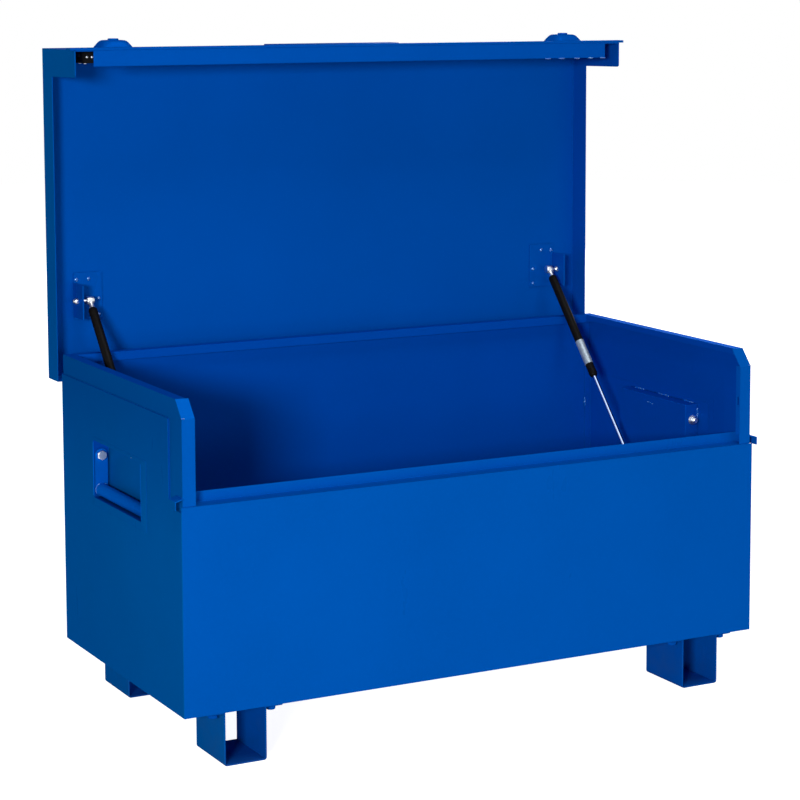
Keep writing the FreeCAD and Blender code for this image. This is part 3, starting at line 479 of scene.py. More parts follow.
def powder_coat(name, colour, tint=1.0, gloss=0.3, grime=0.0, glint=0.0, light_zoned=False,
                inside=None, edge=None, sheen=(0.1, 0.4, 1.0), depth=SKIN, glint_specks=False):
    """Blue powder coat: fine orange peel, soft panel waves, faint handling marks, and painted
    light: highlights on sharp edges and shade in corners.
    """
    finish = Finish(name)
    base = shade(colour, tint)
    coat = finish.light_zones(base, inside, depth) if light_zoned else base

    def toned(factor):
        """The coat times a factor per channel."""
        return finish.mix(1.0, coat, factor, "MULTIPLY")
    broad = finish.ramp(finish.noise(2.6, 3.0, 0.55), 0.3, 0.7)
    tone = toned(finish.mix(broad, (0.95,) * 3, (1.05,) * 3))
    mottle = finish.ramp(finish.noise(240.0, 2.0, 0.6), 0.35, 0.75, 0.0, 0.35)
    tone = finish.mix(mottle, tone, toned((1.1,) * 3))
    # Painted highlight: sharp edges turn to the edge colour, or to the coat times the given edge
    # factor (lighter on the recesses, darker on the lid and feet), broken up at random.
    highlight_breakup = finish.ramp(finish.noise(60.0, 4.0, 0.65), 0.42, 0.62, 0.25, 0.8)
    rim = finish.math("MULTIPLY", finish.edges(1.4 * MM), highlight_breakup)
    tone = finish.mix(rim, tone, tuple(colours().edge) if edge is None else shade(base, edge))
    if grime:
        dirt = finish.ramp(finish.noise(7.0, 6.0, 0.7), 0.45, 0.8, 0.0, grime)
        tone = finish.mix(dirt, tone, (0.05, 0.08, 0.14))
    # Painted shade: in corners and gaps the coat darkens to about a third of its colour.
    tone = finish.mix(finish.crevice(14 * MM, 0.1, 0.45), shade(base, 0.35), tone)
    # Painted glints: pale specks scattered over the coat.
    if glint_specks:
        glint_spots = finish.ramp(finish.noise(320.0, 1.0), 0.56, 0.64, 0.0, 0.9)
        tone = finish.mix(glint_spots, tone, (0.25, 0.55, 0.9))
    marks = finish.noise(9.0, 5.0, 0.6, (1.0, 1.0, 0.35))
    waves = finish.bump(finish.noise(3.2, 1.0, 0.4), 1.2 * MM, 0.5)
    peel = finish.bump(finish.noise(1 / sizes().peel, 1.0, 0.4), 0.012 * MM, 1.0, waves)
    finish.set(Base_Color=tone, Normal=peel, Specular_IOR_Level=glint, IOR=1.5, Metallic=0.1,
               Roughness=finish.ramp(marks, 0.3, 0.75, gloss - 0.03, gloss + 0.1),
               Specular_Tint=sheen)
    return finish.material


def plated(name, colour, gloss=0.3, streak=(1.0, 1.0, 1.0), relief=0.02, shaded_side=0.0):
    """Bright metal with fine turning marks, uneven gloss and, when asked, painted shade on its
    right side.
    """
    finish = Finish(name)
    fine = finish.noise(900.0, 2.0, 0.5, streak)
    stain = finish.ramp(finish.noise(90.0, 4.0, 0.6), 0.35, 0.7)
    tone = finish.mix(stain, shade(colour, 0.86), shade(colour, 1.05))
    # Painted shade: faces turned to the right darken towards black.
    if shaded_side:
        cover = finish.ramp(finish.facing((0.86, -0.4, 0.3)), -0.1, 0.4, 0.0, shaded_side)
        tone = finish.mix(cover, tone, (0.02, 0.03, 0.05))
    finish.set(Base_Color=tone, Normal=finish.bump(fine, relief * MM, 0.6), Metallic=1.0,
               Roughness=finish.ramp(fine, 0.3, 0.7, gloss - 0.04, gloss + 0.08),
               Specular_IOR_Level=0.5)
    return finish.material


def enamel(name, colour, gloss):
    """Dark enamel with patches of dust."""
    finish = Finish(name)
    dust = finish.ramp(finish.noise(130.0, 5.0, 0.65), 0.5, 0.85, 0.0, 0.25)
    rubbed = finish.noise(45.0, 3.0)
    finish.set(Base_Color=finish.mix(dust, colour, (0.03, 0.022, 0.018)),
               Roughness=finish.ramp(rubbed, 0.3, 0.7, gloss - 0.05, gloss + 0.1),
               Normal=finish.bump(finish.noise(700.0, 1.0), 0.01 * MM), Metallic=0.0,
               Specular_IOR_Level=0.03)
    return finish.material


def foil(name, colour):
    """Blank silver sleeve with soft creases."""
    finish = Finish(name)
    crease = finish.noise(160.0, 4.0, 0.7, (1.0, 1.0, 0.5))
    fold = finish.ramp(crease, 0.35, 0.7)
    finish.set(Base_Color=finish.mix(fold, shade(colour, 0.82), shade(colour, 1.2)),
               Roughness=finish.ramp(crease, 0.3, 0.7, 0.3, 0.48),
               Normal=finish.bump(crease, 0.08 * MM), Metallic=0.4, Specular_IOR_Level=0.3)
    return finish.material


FINISHES = {}


def finish_named(name):
    """Each finish is made once and shared."""
    if name not in FINISHES:
        maker, colour, settings = recipe(name)
        FINISHES[name] = maker(name, colour, **settings)
    return FINISHES[name]


def recipe(name):
    """Maker, colour and settings of a finish."""
    tones = colours()
    inner = tuple(tones.inner)
    brushed = (8.0, 1.0, 1.0)
    return {
        "coat": (powder_coat, tones.coat, dict(light_zoned=True, inside=inner)),
        "coat_lid": (powder_coat, tones.lid, dict(light_zoned=True, edge=0.8)),
        # The floor panel takes the darker inside tone, painted shade, with patches of grime.
        "coat_inside": (powder_coat, tones.inner, dict(grime=0.25)),
        "coat_feet": (powder_coat, tones.feet, dict(gloss=0.36, grime=0.3, edge=0.75, light_zoned=True,
                                                    depth=80 * MM)),
        # Welds and rivets: a lighter coat with pale painted glints.
        "coat_weld": (powder_coat, tones.coat, dict(tint=1.1, gloss=0.12, glint=1.0, glint_specks=True,
                                                    sheen=(0.75, 0.9, 1.0))),
        "coat_recess": (powder_coat, tones.coat, dict(light_zoned=True, inside=inner, edge=1.8,
                                                      depth=60 * MM)),
        # Painted highlight: a lighter copy of the coat for the recess lips.
        "coat_rim": (powder_coat, tones.coat, dict(tint=1.3)),
        # Painted light: the handles take a lighter copy of the coat against the shade of their
        # recesses.
        "coat_handle": (powder_coat, tones.coat, dict(tint=1.15, gloss=0.26)),
        "coat_small": (powder_coat, tones.lid, dict(gloss=0.26)),
        "zinc": (plated, tones.zinc, {}),
        "zinc_bright": (plated, tones.bright, dict(gloss=0.38)),
        "chrome": (plated, tones.chrome, dict(gloss=0.1, streak=(1.0, 0.2, 0.2), relief=0.004,
                                              shaded_side=0.8)),
        "ground_steel": (plated, tones.steel, dict(streak=brushed)),
        "dark_steel": (plated, tones.dark_steel, dict(gloss=0.38, streak=brushed)),
        "black_tube": (enamel, tones.black, dict(gloss=0.26)),
        "black_case": (enamel, tones.case, dict(gloss=0.42)),
        "key_way": (enamel, tones.key_way, dict(gloss=0.6)),
        "label_foil": (foil, tones.label, {}),
    }[name]


def dress(node, finish, fold=None):
    """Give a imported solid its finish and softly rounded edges."""
    solid = frame["nodes"][node]
    for slot in solid.material_slots:
        slot.material = finish_named(finish)
    if not solid.material_slots:
        solid.data.materials.append(finish_named(finish))
    solid.modifiers.new("join", "WELD").merge_threshold = 1e-6
    bevel = solid.modifiers.new("fold", "BEVEL")
    bevel.width = sizes().fold if fold is None else fold
    bevel.segments = 2
    bevel.limit_method = "ANGLE"
    bevel.angle_limit = math.radians(40)
    bevel.harden_normals = True


# ---------------------------------------------------------------- operators

class SITEBOX_OT_sheets(bpy.types.Operator):
    """Coat the sheet metal of the body, the lid, the feet and the brackets"""
    bl_idname = "sitebox.sheets"
    bl_label = "Sheet metal"

    def execute(self, context):
        for node in BODY_SHEETS:
            dress(node, "coat_inside" if node == "floor_panel" else "coat")
        for node in LID_SHEETS:
            dress(node, "coat_lid")
        for node in BRACKETS + HINGE_LEAVES:
            dress(node, "coat_small")
        for node in RECESSES:
            dress(node, "coat_recess")
        for node in FEET:
            dress(node, "coat_feet", 1.2 * MM)
        return {"FINISHED"}


class SITEBOX_OT_recess_rims(bpy.types.Operator):
    """Flanges of the handle recesses on the outer skins, and lips in a lighter coat as painted
    highlights
    """
    bl_idname = "sitebox.recess_rims"
    bl_label = "Recess rims"

    def execute(self, context):
        height = sizes().rim_height
        for side, sign in SIDES:
            low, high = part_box("handle_recess_" + side)
            face, _ = ends("handle_recess_" + side, sign)
            bm = bmesh.new()
            loops = [self.rim(bm, face + sign * height * rise, low, high, out)
                     for out, rise in ((0.0, 0.0), (0.0, 1.0), (0.92, 1.0), (1.0, 0.55),
                                       (1.0, 0.0))]
            skin(bm, loops + loops[:1])
            piece("recess_rim_" + side, bm, ["coat"], "box")
            # Lips along the two vertical sides of the mouth, in a lighter coat: a painted highlight
            # on the fold.
            bm = bmesh.new()
            for y in (low.y + 2 * MM, high.y - 2 * MM):
                wire(bm, [Vector((face + sign * 0.5 * MM, y, z))
                          for z in (low.z + 6 * MM, high.z - 6 * MM)], 0.9 * MM)
            piece("recess_lip_" + side, bm, ["coat_rim"], "box")
        return {"FINISHED"}

    def rim(self, bm, x, low, high, out):
        """Loop of vertices round the recess at x; out runs from its inner to its outer edge."""
        size = sizes()
        inner = 2 * MM * (1 - out)
        narrow = size.rim * out - inner
        corner = 4 * MM + 2 * MM * out
        y0 = low.y + inner - size.rim_front * out + corner
        z0 = low.z + inner - size.rim_foot * out + corner
        y1, z1 = high.y + narrow - corner, high.z + narrow - corner
        return [bm.verts.new(point)
                for y, z, turn in ((y1, z1, 0), (y0, z1, 90), (y0, z0, 180), (y1, z0, 270))
                for point in arc(Vector((x, y, z)), Y, Z, corner, turn, turn + 90, 15)]


class SITEBOX_OT_handles(bpy.types.Operator):
    """Drop handles with welded grips"""
    bl_idname = "sitebox.handles"
    bl_label = "Drop handles"

    def execute(self, context):
        rng = random.Random(studio().seed)
        arm, grip, weld = 4 * MM, 12.3 * MM, 1.1 * MM
        for side, _ in SIDES:
            dress("handle_" + side, "coat_handle", 0.7 * MM)
            low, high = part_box("handle_" + side)
            bm = bmesh.new()
            for y in (low.y + arm, high.y - arm):
                centre = Vector(((low.x + high.x) / 2, y, low.z + (high.x - low.x) / 2))
                bead(bm, arc(centre, X, Z, grip, 0, 360, 15), weld, rng)
            piece("grip_welds_" + side, bm, ["coat_weld"], "handle_" + side)
        return {"FINISHED"}


class SITEBOX_OT_pivot_bolts(bpy.types.Operator):
    """Bolts and nuts of the drop handles"""
    bl_idname = "sitebox.pivot_bolts"
    bl_label = "Handle bolts and nuts"

    def execute(self, context):
        bolts, nuts = bmesh.new(), bmesh.new()
        tip_low, tip_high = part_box("handle_bolts")
        nut_low, nut_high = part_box("handle_nuts")
        arm, thread = 4.4 * MM, 14 * MM
        for side, _ in SIDES:
            x, _, z = JOINTS["handle_{}_hinge".format(side)]["pos_m"]
            low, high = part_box("handle_" + side)
            tray_low, tray_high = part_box("handle_recess_" + side)
            for seat, axis, tip, cheek, crown in (
                    (low.y + arm, Y, tip_low.y, tray_low.y, nut_low.y),
                    (high.y - arm, -Y, tip_high.y, tray_high.y, nut_high.y)):
                bolt(bolts, Vector((x, seat, z)), axis, abs(seat - tip), thread)
                nut(nuts, Vector((x, cheek, z)), -axis, abs(crown - cheek))
        piece("handle_bolt_set", bolts, ["zinc_bright"], "box", "handle_bolts")
        piece("handle_nut_set", nuts, ["zinc"], "box", "handle_nuts")
        return {"FINISHED"}


class SITEBOX_OT_foot_fasteners(bpy.types.Operator):
    """Bolts and nuts of the feet"""
    bl_idname = "sitebox.foot_fasteners"
    bl_label = "Foot bolts and nuts"

    def execute(self, context):
        bolts, nuts = bmesh.new(), bmesh.new()
        _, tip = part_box("foot_bolts")
        _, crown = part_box("foot_nuts")
        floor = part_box("floor_panel")[1].z
        in_x, in_y, flange, thick, thread = 17 * MM, 16 * MM, 3 * MM, 2 * MM, 9 * MM
        for foot in FEET:
            low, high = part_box(foot)
            for x in (low.x + in_x, high.x - in_x):
                for y in (low.y + in_y, high.y - in_y):
                    under = Vector((x, y, high.z - flange))
                    seat = under - Z * thick
                    washer(bolts, under, -Z, thick)
                    bolt(bolts, seat, -Z, tip.z - seat.z, thread)
                    nut(nuts, Vector((x, y, floor)), Z, crown.z - floor)
        piece("foot_bolt_heads", bolts, ["coat_small"], "box", "foot_bolts")
        piece("foot_nut_set", nuts, ["zinc"], "box", "foot_nuts")
        return {"FINISHED"}


# Levels along a strut are millimetres from its upper ball, with the radius.
class SITEBOX_OT_struts(bpy.types.Operator):
    """Gas struts: sockets, tubes, blank sleeves, rods and their studs"""
    bl_idname = "sitebox.struts"
    bl_label = "Gas struts"

    def execute(self, context):
        for side, sign in SIDES:
            top = Vector(JOINTS["strut_tube_{}_pivot".format(side)]["pos_m"])
            down = -Vector(JOINTS["strut_rod_{}_slide".format(side)]["axis"]).normalized()
            self.barrel(side, top, down)
            self.rod(side, top, down)
            self.studs(side, sign)
        return {"FINISHED"}

    def barrel(self, side, top, down):
        """Tube with its swaged end, its socket and its blank sleeve."""
        tube_node = "strut_tube_" + side
        bm = bmesh.new()
        turned(bm, top, down, mm(
            (19, 0), (19, 5.6), (20.5, 7.4), (23, 8.7), (26, 9), (263, 9), (264.5, 8.55),
            (266, 8.55), (267.5, 9), (275, 9), (279, 8.6), (282, 7.2), (284, 5.6), (284, 4.2),
            (282, 4.1), (282, 0)), 56)
        piece("strut_barrel_" + side, bm, ["black_tube"], tube_node, tube_node)
        bm = bmesh.new()
        socket(bm, top, down, 20)
        piece("strut_socket_" + side, bm, ["zinc"], tube_node)
        bm = bmesh.new()
        turned(bm, top, down, mm((193, 9), (193, 9.25), (193.4, 9.25), (252.6, 9.25),
                                 (253, 9.25), (253, 9)), 56, hollow=True)
        piece("strut_sleeve_" + side, bm, ["label_foil"], tube_node,
              "strut_label_" + side)

    def rod(self, side, top, down):
        """Rod with its piston, which stays within the tube, and its socket."""
        rod_node = "strut_rod_" + side
        reach = (top.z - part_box(rod_node)[0].z - 8.5 * MM) / -down.z
        neck = reach - 18 * MM
        bm = bmesh.new()
        turned(bm, top, down, mm((257, 0), (257, 7.2), (265, 7.2), (266, 4))
               + [(neck, 4 * MM), (neck, 0)])
        piece("strut_shaft_" + side, bm, ["chrome"], rod_node, rod_node)
        bm = bmesh.new()
        socket(bm, top + down * reach, -down, 21)
        piece("strut_end_" + side, bm, ["zinc"], rod_node)

    def studs(self, side, sign):
        """Upper ball stud and lower mount stud, each with a nut on both sides of its plate."""
        axis, corner = X * -sign, 6.8 * MM
        for node, body in (("ball_stud_", "lid"), ("mount_stud_", "box")):
            low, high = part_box(node + side)
            start = (low + high) / 2
            start.x, _ = ends(node + side, sign)
            reach = high.x - low.x
            plate = start + axis * 9 * MM
            bm = bmesh.new()
            threaded(bm, plate, -axis, 11 * MM, 4 * MM)
            hex_head(bm, plate, -axis, 7 * MM, corner)
            hex_head(bm, start + axis * 12 * MM, axis, 6 * MM, corner)
            neck = mm((12, 0), (12, 3.9), (18.3, 3.9), (19.5, 3))
            if body == "lid":
                ball = reach - 5 * MM
                neck += [(ball - 4.4 * MM, 3 * MM)] + dome(ball, 5 * MM, 5 * MM, -50)
            else:
                neck += [(reach - 1 * MM, 3.8 * MM), (reach, 3.2 * MM), (reach, 0)]
            turned(bm, start, axis, neck, 36)
            piece(node + "turned_" + side, bm, ["zinc"], body, node + side)


def socket(bm, centre, axis, reach):
    """Ball socket: an eye along X with a rounded housing, a neck and a retaining clip."""
    turned(bm, centre - X * 8 * MM, X, mm((0, 3.9), (0, 7.3), (0.5, 8.1), (1.4, 8.5), (13, 8.5),
                                          (15, 7.6), (16, 5.9), (16, 0)), 44)
    turned(bm, centre, axis, mm((6, 0), (6, 5.6), (10.5, 5.2), (reach - 3, 5), (reach, 5.6),
                                (reach + 1, 5.6), (reach + 1, 0)), 36)
    wire(bm, arc(centre - X * 5 * MM, Y, Z, 8.6 * MM, 20, 320, 12), 0.45 * MM)


class SITEBOX_OT_rivets(bpy.types.Operator):
    """Domed rivets of the lid brackets"""
    bl_idname = "sitebox.rivets"
    bl_label = "Lid rivets"

    def execute(self, context):
        bm = bmesh.new()
        edge, sheet = 8 * MM, 3 * MM
        for side, sign in SIDES:
            low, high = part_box("lid_bracket_" + side)
            near, far = ends("lid_bracket_" + side, sign)
            stud = JOINTS["strut_tube_{}_pivot".format(side)]["pos_m"][2]
            # Two along the top, one level with the stud, one in the lower corner.
            for x, z in ((near - sign * 5 * MM, high.z - 14 * MM),
                         (near - sign * 31 * MM, high.z - 13 * MM),
                         (far + sign * edge, stud), (far + sign * edge, low.z + edge)):
                turned(bm, Vector((x, high.y - sheet, z)), -Y,
                       [(0, 0)] + dome(0, 2.5 * MM, 4 * MM, 0), 28)
        piece("rivet_domes", bm, ["coat_weld"], "lid", "lid_rivets")
        return {"FINISHED"}


class SITEBOX_OT_hinge_pins(bpy.types.Operator):
    """Pins of the lid hinges, with domed heads"""
    bl_idname = "sitebox.hinge_pins"
    bl_label = "Hinge pins"

    def execute(self, context):
        bm = bmesh.new()
        low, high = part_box("hinge_pins")
        half = -low.x - HINGES[-1]
        head = mm((0, 0), (0.2, 3.4), (1.2, 5.6), (2.6, 6.4), (4, 6.4), (4, 4))
        foot = [(2 * half - along, radius) for along, radius in reversed(head)]
        for x in HINGES:
            start = Vector((x - half, (low.y + high.y) / 2, (low.z + high.z) / 2))
            turned(bm, start, X, head + foot, 36)
        piece("hinge_pin_set", bm, ["zinc"], "box", "hinge_pins")
        return {"FINISHED"}


class SITEBOX_OT_locks(bpy.types.Operator):
    """Lock covers, plugs, cases, bolts and screws"""
    bl_idname = "sitebox.locks"
    bl_label = "Locks"

    def execute(self, context):
        for side, _ in SIDES:
            self.cover(side)
            self.plug(side)
            dress("lock_case_" + side, "black_case", 1.0 * MM)
            dress("lock_bolt_" + side, "dark_steel", 0.5 * MM)
        self.case_screws()
        self.end_screws()
        return {"FINISHED"}

    def cover(self, side):
        """Pressed cover that turns from a rounded square foot into a round collar."""
        low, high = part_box("lock_cover_" + side)
        centre = Vector(((low.x + high.x) / 2, (low.y + high.y) / 2, low.z))
        foot = (high.x - low.x) / 2
        rise = high.z - low.z
        # Share of the foot's width, share of the height, and how square the ring is.
        profile = [(1.0, 0.0, 7), (1.0, 0.06, 7), (0.985, 0.13, 6.5), (0.95, 0.24, 6),
                   (0.9, 0.38, 5.2), (0.84, 0.52, 4.6), (0.78, 0.66, 4.1), (0.71, 0.77, 3.6),
                   (0.63, 0.83, 3.1), (0.52, 0.85, 2.6), (0.4, 0.855, 2.2), (0.33, 0.86, 2),
                   (0.318, 0.875, 2), (0.315, 0.97, 2), (0.3, 1.0, 2), (0.235, 1.0, 2),
                   (0.222, 0.98, 2), (0.218, 0.05, 2)]
        bm = bmesh.new()
        stack = []
        for share, height, square in profile:
            loop = []
            for i in range(64):
                angle = 2 * math.pi * i / 64
                c, s = math.cos(angle), math.sin(angle)
                reach = foot * share / (abs(c) ** square + abs(s) ** square) ** (1 / square)
                loop.append(bm.verts.new(centre + Vector((c * reach, s * reach, rise * height))))
            stack.append(loop)
        skin(bm, stack)
        piece("lock_dome_" + side, bm, ["coat_small"], "lid", "lock_cover_" + side,
              sharp=50)

    def plug(self, side):
        """Key plug with its key way."""
        node = "lock_plug_" + side
        low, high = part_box(node)
        centre = Vector(((low.x + high.x) / 2, (low.y + high.y) / 2, low.z))
        radius = (high.x - low.x) / 2
        height = high.z - low.z
        face = height - 0.5 * MM
        bm = bmesh.new()
        turned(bm, centre, Z, [
            (0, 0), (0, radius * 0.97), (0.4 * MM, radius), (height - 1.4 * MM, radius),
            (face, radius * 0.95), (height, radius * 0.82), (height, radius * 0.74),
            (face, radius * 0.7), (face, 0)], 44)
        slot_box(bm, centre + Z * (height - 0.45 * MM), 1.8, 8.4, 0.5)
        piece("lock_barrel_" + side, bm, ["ground_steel", "key_way"], node, node)

    def case_screws(self):
        """Pan heads with a cross recess at the corners of the cases."""
        bm = bmesh.new()
        inset = 7 * MM
        for side, _ in SIDES:
            low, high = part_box("lock_case_" + side)
            for x in (low.x + inset, high.x - inset):
                for y in (low.y + inset, high.y - inset):
                    seat = Vector((x, y, low.z))
                    turned(bm, seat, -Z, mm((0, 0), (0, 3.5), (0.9, 3.4), (1.6, 2.6), (1.9, 1.4),
                                            (1.95, 0)), 28)
                    for width, across in ((0.8, 3.6), (3.6, 0.8)):
                        slot_box(bm, seat - Z * 1.75 * MM, width, across, 0.24)
        piece("lock_case_screws", bm, ["zinc", "key_way"], "lid", "lock_screws")

    def end_screws(self):
        """Small screws on the front end of each case."""
        bm = bmesh.new()
        for side, sign in SIDES:
            low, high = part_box("lock_case_" + side)
            near, _ = ends("lock_case_" + side, sign)
            for along in (9 * MM, 19 * MM):
                seat = Vector((near - sign * along, low.y, (low.z + high.z) / 2))
                turned(bm, seat, -Y, mm((0, 0), (0, 2.4), (0.9, 2.3), (1.5, 1.8), (1.9, 0.9),
                                        (1.95, 0)), 24)
        piece("lock_end_screw_set", bm, ["zinc"], "lid", "lock_end_screws")


def slot_box(bm, centre, *size):
    """Low block in the second finish, for a key way or a driver recess; size in millimetres."""
    shape = Matrix.Diagonal((*(value * MM for value in size), 1))
    made = bmesh.ops.create_cube(bm, size=1.0, matrix=Matrix.Translation(centre) @ shape)
    for vert in made["verts"]:
        for face in vert.link_faces:
            face.material_index = 1


class SITEBOX_OT_welds(bpy.types.Operator):
    """Weld beads at the ears, tabs, hinges, recesses and lid rail"""
    bl_idname = "sitebox.welds"
    bl_label = "Weld beads"

    def execute(self, context):
        rng = random.Random(studio().seed + 1)
        body, lid = bmesh.new(), bmesh.new()
        for side, sign in SIDES:
            self.ear(body, side, sign, rng)
            self.recess(body, side, sign, rng)
            self.corners(body, sign, rng)
            self.tab(body, side, sign, rng)
        self.leaves(body, rng)
        self.rail(lid, rng)
        piece("body_welds", body, ["coat_weld", "coat_small"], "box")
        piece("lid_welds", lid, ["coat_weld"], "lid")
        return {"FINISHED"}

    def ear(self, bm, side, sign, rng):
        """Bead across the fold between the ear face and its chamfer."""
        low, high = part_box("ear_" + side)
        # A weld bead whose pale specks stand in for the highlight on this fold.
        x = ends("ear_" + side, sign)[0] - sign * 1.4 * MM
        y, z = low.y + 1.4 * MM, high.z - 30.4 * MM
        bead(bm, [(x, y, z), (x - sign * 6 * MM, y, z)], 1.1 * MM, rng)

    def recess(self, bm, side, sign, rng):
        """Stitches that hold the recess to the inside of the skin, and a tack on its back."""
        size = sizes().weld
        low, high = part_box("handle_recess_" + side)
        mouth, back = ends("handle_recess_" + side, sign)
        x, off = mouth - sign * 2.4 * MM, 0.4 * MM
        for start, end in ((0.06, 0.2), (0.42, 0.58), (0.8, 0.94)):
            a, b = low.y + start * (high.y - low.y), low.y + end * (high.y - low.y)
            for z in (high.z + off, low.z - off):
                bead(bm, [(x, a, z), (x, b, z)], size, rng)
        for y in (low.y - off, high.y + off):
            for a, b in ((low.z + 12 * MM, low.z + 38 * MM), (high.z - 34 * MM, high.z - 8 * MM)):
                bead(bm, [(x, y, a), (x, y, b)], size, rng)
        # The tack on the back stands in, with its pale specks, for a glint there.
        x = back + sign * 2.4 * MM
        bead(bm, [(x, low.y + 120 * MM, high.z - 17 * MM),
                  (x, low.y + 144 * MM, high.z - 14 * MM)], 1.3 * size, rng)

    def corners(self, bm, sign, rng):
        """Stitches of the corners: at the front wall and along the rear return flange."""
        front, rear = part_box("front_wall")[0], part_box("rear_wall")[1]
        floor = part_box("floor_panel")[1].z
        outer, _ = ends("rear_wall", sign)
        for x, y, spans in (
                (outer - sign * 4.2 * MM, front.y + 4.2 * MM,
                 ((0.03, 0.07), (0.16, 0.2), (0.29, 0.33))),
                (outer - sign * 17.4 * MM, rear.y - 4.4 * MM,
                 ((0.03, 0.07), (0.2, 0.23), (0.36, 0.38), (0.47, 0.485)))):
            for low, high in spans:
                bead(bm, [(x, y, floor + low), (x, y, floor + high)], sizes().weld, rng)

    def tab(self, bm, side, sign, rng):
        """Bead on top of the root of a keeper tab, in the plain coat."""
        low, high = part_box("side_tab_" + side)
        x, z = ends("side_tab_" + side, sign)[1] + sign * 0.4 * MM, high.z + 0.2 * MM
        bead(bm, [(x, low.y + 3 * MM, z), (x, high.y - 3 * MM, z)], sizes().tack, rng, 1)

    def leaves(self, bm, rng):
        """Beads along the lower edges of the hinge leaves on the rear wall."""
        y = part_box("rear_wall")[1].y + 0.8 * MM
        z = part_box("hinge_body_leaves")[0].z - 0.2 * MM
        for x in HINGES:
            for a, b in ((-38, -12), (12, 38)):
                bead(bm, [(x + a * MM, y, z), (x + b * MM, y, z)], 1.8 * MM, rng)

    def rail(self, bm, rng):
        """Short stitches along the free edge of the rail, on its right side."""
        low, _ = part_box("lid_skirt")
        y, stitch = low.y + 0.6 * MM, 14 * MM
        for x in (0.425, 0.458, 0.496, 0.53, 0.56):
            bead(bm, [(x, y, low.z), (x + stitch, y, low.z)], sizes().tack, rng)


class SITEBOX_OT_stage(bpy.types.Operator):
    """Pale floor, soft studio light and the camera"""
    bl_idname = "sitebox.stage"
    bl_label = "Stage"

    def execute(self, context):
        self.floor()
        self.world(context.scene)
        area("key_lamp", (-4.4, -5.45, 1.75), 0.6, 1.25, 0.8, studio().key)
        area("front_lamp", (0.6, -8.0, 1.0), 0.7, 2.2, 1.2, studio().front)
        area("top_lamp", (0.0, -1.2, 4.2), 0.5, 3.0, 2.0, studio().top)
        area("rear_lamp", (4.5, 6.0, 1.9), 0.6, 3.0, 2.0, studio().rear)
        self.camera(context.scene)
        context.scene.view_settings.view_transform = "Standard"
        return {"FINISHED"}

    def floor(self):
        """White paper that keeps part of the shadow and fades to pure white far out."""
        bm = bmesh.new()
        bmesh.ops.create_circle(bm, cap_ends=True, segments=96, radius=12.0)
        mesh = bpy.data.meshes.new("studio_floor")
        bm.to_mesh(mesh)
        bm.free()
        made = bpy.data.objects.new("studio_floor", mesh)
        bpy.context.scene.collection.objects.link(made)
        finish = Finish("floor_paper")
        tone = tuple(studio().floor)
        seen = finish.seen_directly()
        paper = finish.mix(finish.ramp(finish.noise(1.5), 0.3, 0.7), shade(tone, 0.98), tone)
        finish.set(Base_Color=finish.mix(seen, paper, (1.0, 1.0, 1.0)), Roughness=0.9,
                   Specular_IOR_Level=0.0)
        spread = finish.add("ShaderNodeVectorMath", {0: finish.place}, operation="LENGTH")
        fade = finish.ramp(spread["Value"], 1.2, 3.0, studio().glow, 1.0)
        glow = finish.add("ShaderNodeEmission", {"Strength": finish.math("MULTIPLY", seen, fade)})
        both = finish.add("ShaderNodeAddShader", {0: finish.shader.outputs[0], 1: glow[0]})
        finish.feed(finish.tree.nodes["Material Output"].inputs["Surface"], both[0])
        mesh.materials.append(finish.material)

    def world(self, scene):
        """Even fill for the object; the camera and mirror rays see white."""
        scene.world = bpy.data.worlds.new("studio_fill")
        scene.world.use_nodes = True
        fill = Nodes(scene.world.node_tree)
        back = fill.tree.nodes["Background"].inputs
        fill.feed(back["Color"], (1.0, 1.0, 1.0))
        fill.feed(back["Strength"], fill.ramp(fill.seen_directly(), 0.0, 1.0, studio().sky))

    def camera(self, scene):
        """Shifted-lens view from the front left, placed from the front wall's lower corner."""
        data = bpy.data.cameras.new("view")
        data.sensor_width = 36.0
        data.lens = studio().focal
        data.shift_x = studio().shift_x
        data.shift_y = studio().shift_y
        data.clip_end = 60.0
        made = bpy.data.objects.new("view", data)
        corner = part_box("front_wall")[0]
        tilt, roll, heading = 0.11495, -0.00069, -0.51099
        made.location = corner + Vector((-1.5667, -3.85959, 1.30148))
        made.rotation_euler = (math.radians(90) - tilt, roll, heading)
        scene.collection.objects.link(made)
        scene.camera = made


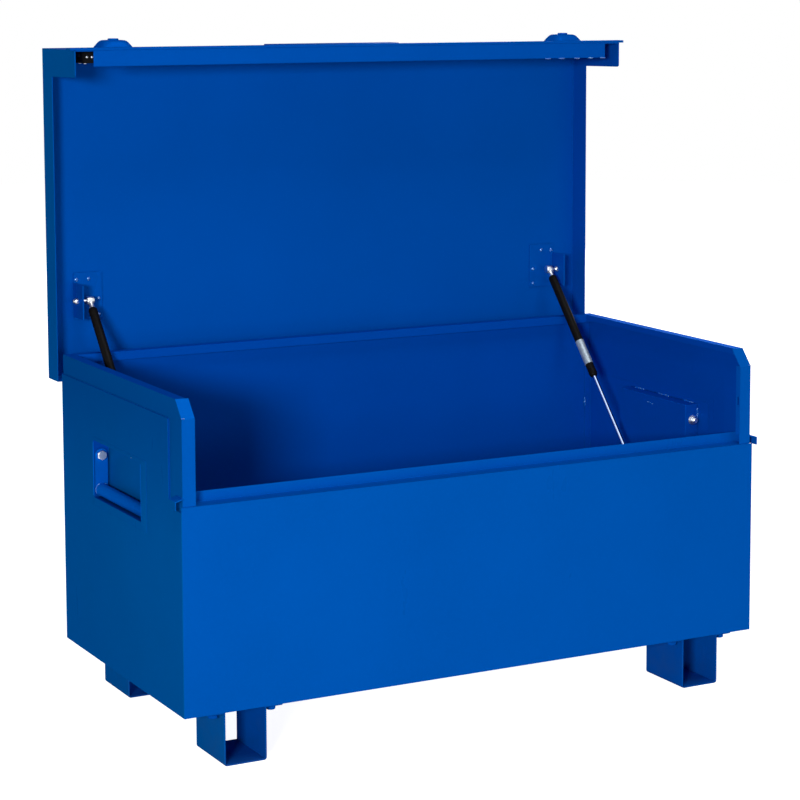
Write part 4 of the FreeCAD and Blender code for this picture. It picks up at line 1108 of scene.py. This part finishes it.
def area(name, place, aim, width, height, watts):
    """Soft box aimed at a height above the middle of the footprint."""
    data = bpy.data.lights.new(name, "AREA")
    data.shape = "RECTANGLE"
    data.size, data.size_y = width, height
    data.energy = watts
    made = bpy.data.objects.new(name, data)
    made.location = place
    heading = Vector((0.0, 0.0, aim)) - Vector(place)
    made.rotation_euler = heading.to_track_quat("-Z", "Y").to_euler()
    bpy.context.scene.collection.objects.link(made)


OPERATORS = (
    SITEBOX_OT_sheets, SITEBOX_OT_recess_rims, SITEBOX_OT_handles, SITEBOX_OT_pivot_bolts,
    SITEBOX_OT_foot_fasteners, SITEBOX_OT_struts, SITEBOX_OT_rivets, SITEBOX_OT_hinge_pins,
    SITEBOX_OT_locks, SITEBOX_OT_welds, SITEBOX_OT_stage,
)
GROUPS = (
    (SiteBoxSizes, "sitebox_sizes"),
    (SiteBoxColours, "sitebox_colours"),
    (SiteBoxStudio, "sitebox_studio"),
)


class SITEBOX_PT_panel(bpy.types.Panel):
    """Lists the pieces of the box and their settings"""
    bl_idname = "SITEBOX_PT_panel"
    bl_label = "Site Storage Box"
    bl_space_type = "VIEW_3D"
    bl_region_type = "UI"
    bl_category = "Site Box"

    def draw(self, context):
        column = self.layout.column(align=True)
        for operator in OPERATORS:
            column.operator(operator.bl_idname)
        for group, name in GROUPS:
            box = self.layout.box()
            settings = getattr(context.scene, name)
            for key in group.__annotations__:
                box.prop(settings, key)


def register():
    for group, name in GROUPS:
        bpy.utils.register_class(group)
        setattr(bpy.types.Scene, name, PointerProperty(type=group))
    for operator in OPERATORS:
        bpy.utils.register_class(operator)
    bpy.utils.register_class(SITEBOX_PT_panel)


def unregister():
    bpy.utils.unregister_class(SITEBOX_PT_panel)
    for operator in reversed(OPERATORS):
        bpy.utils.unregister_class(operator)
    for group, name in reversed(GROUPS):
        delattr(bpy.types.Scene, name)
        bpy.utils.unregister_class(group)


def main():
    """Dress the box."""
    register()
    for operator in OPERATORS:
        family, action = operator.bl_idname.split(".")
        getattr(getattr(bpy.ops, family), action)()
    bpy.context.view_layer.update()


if __name__ == "__main__":
    main()
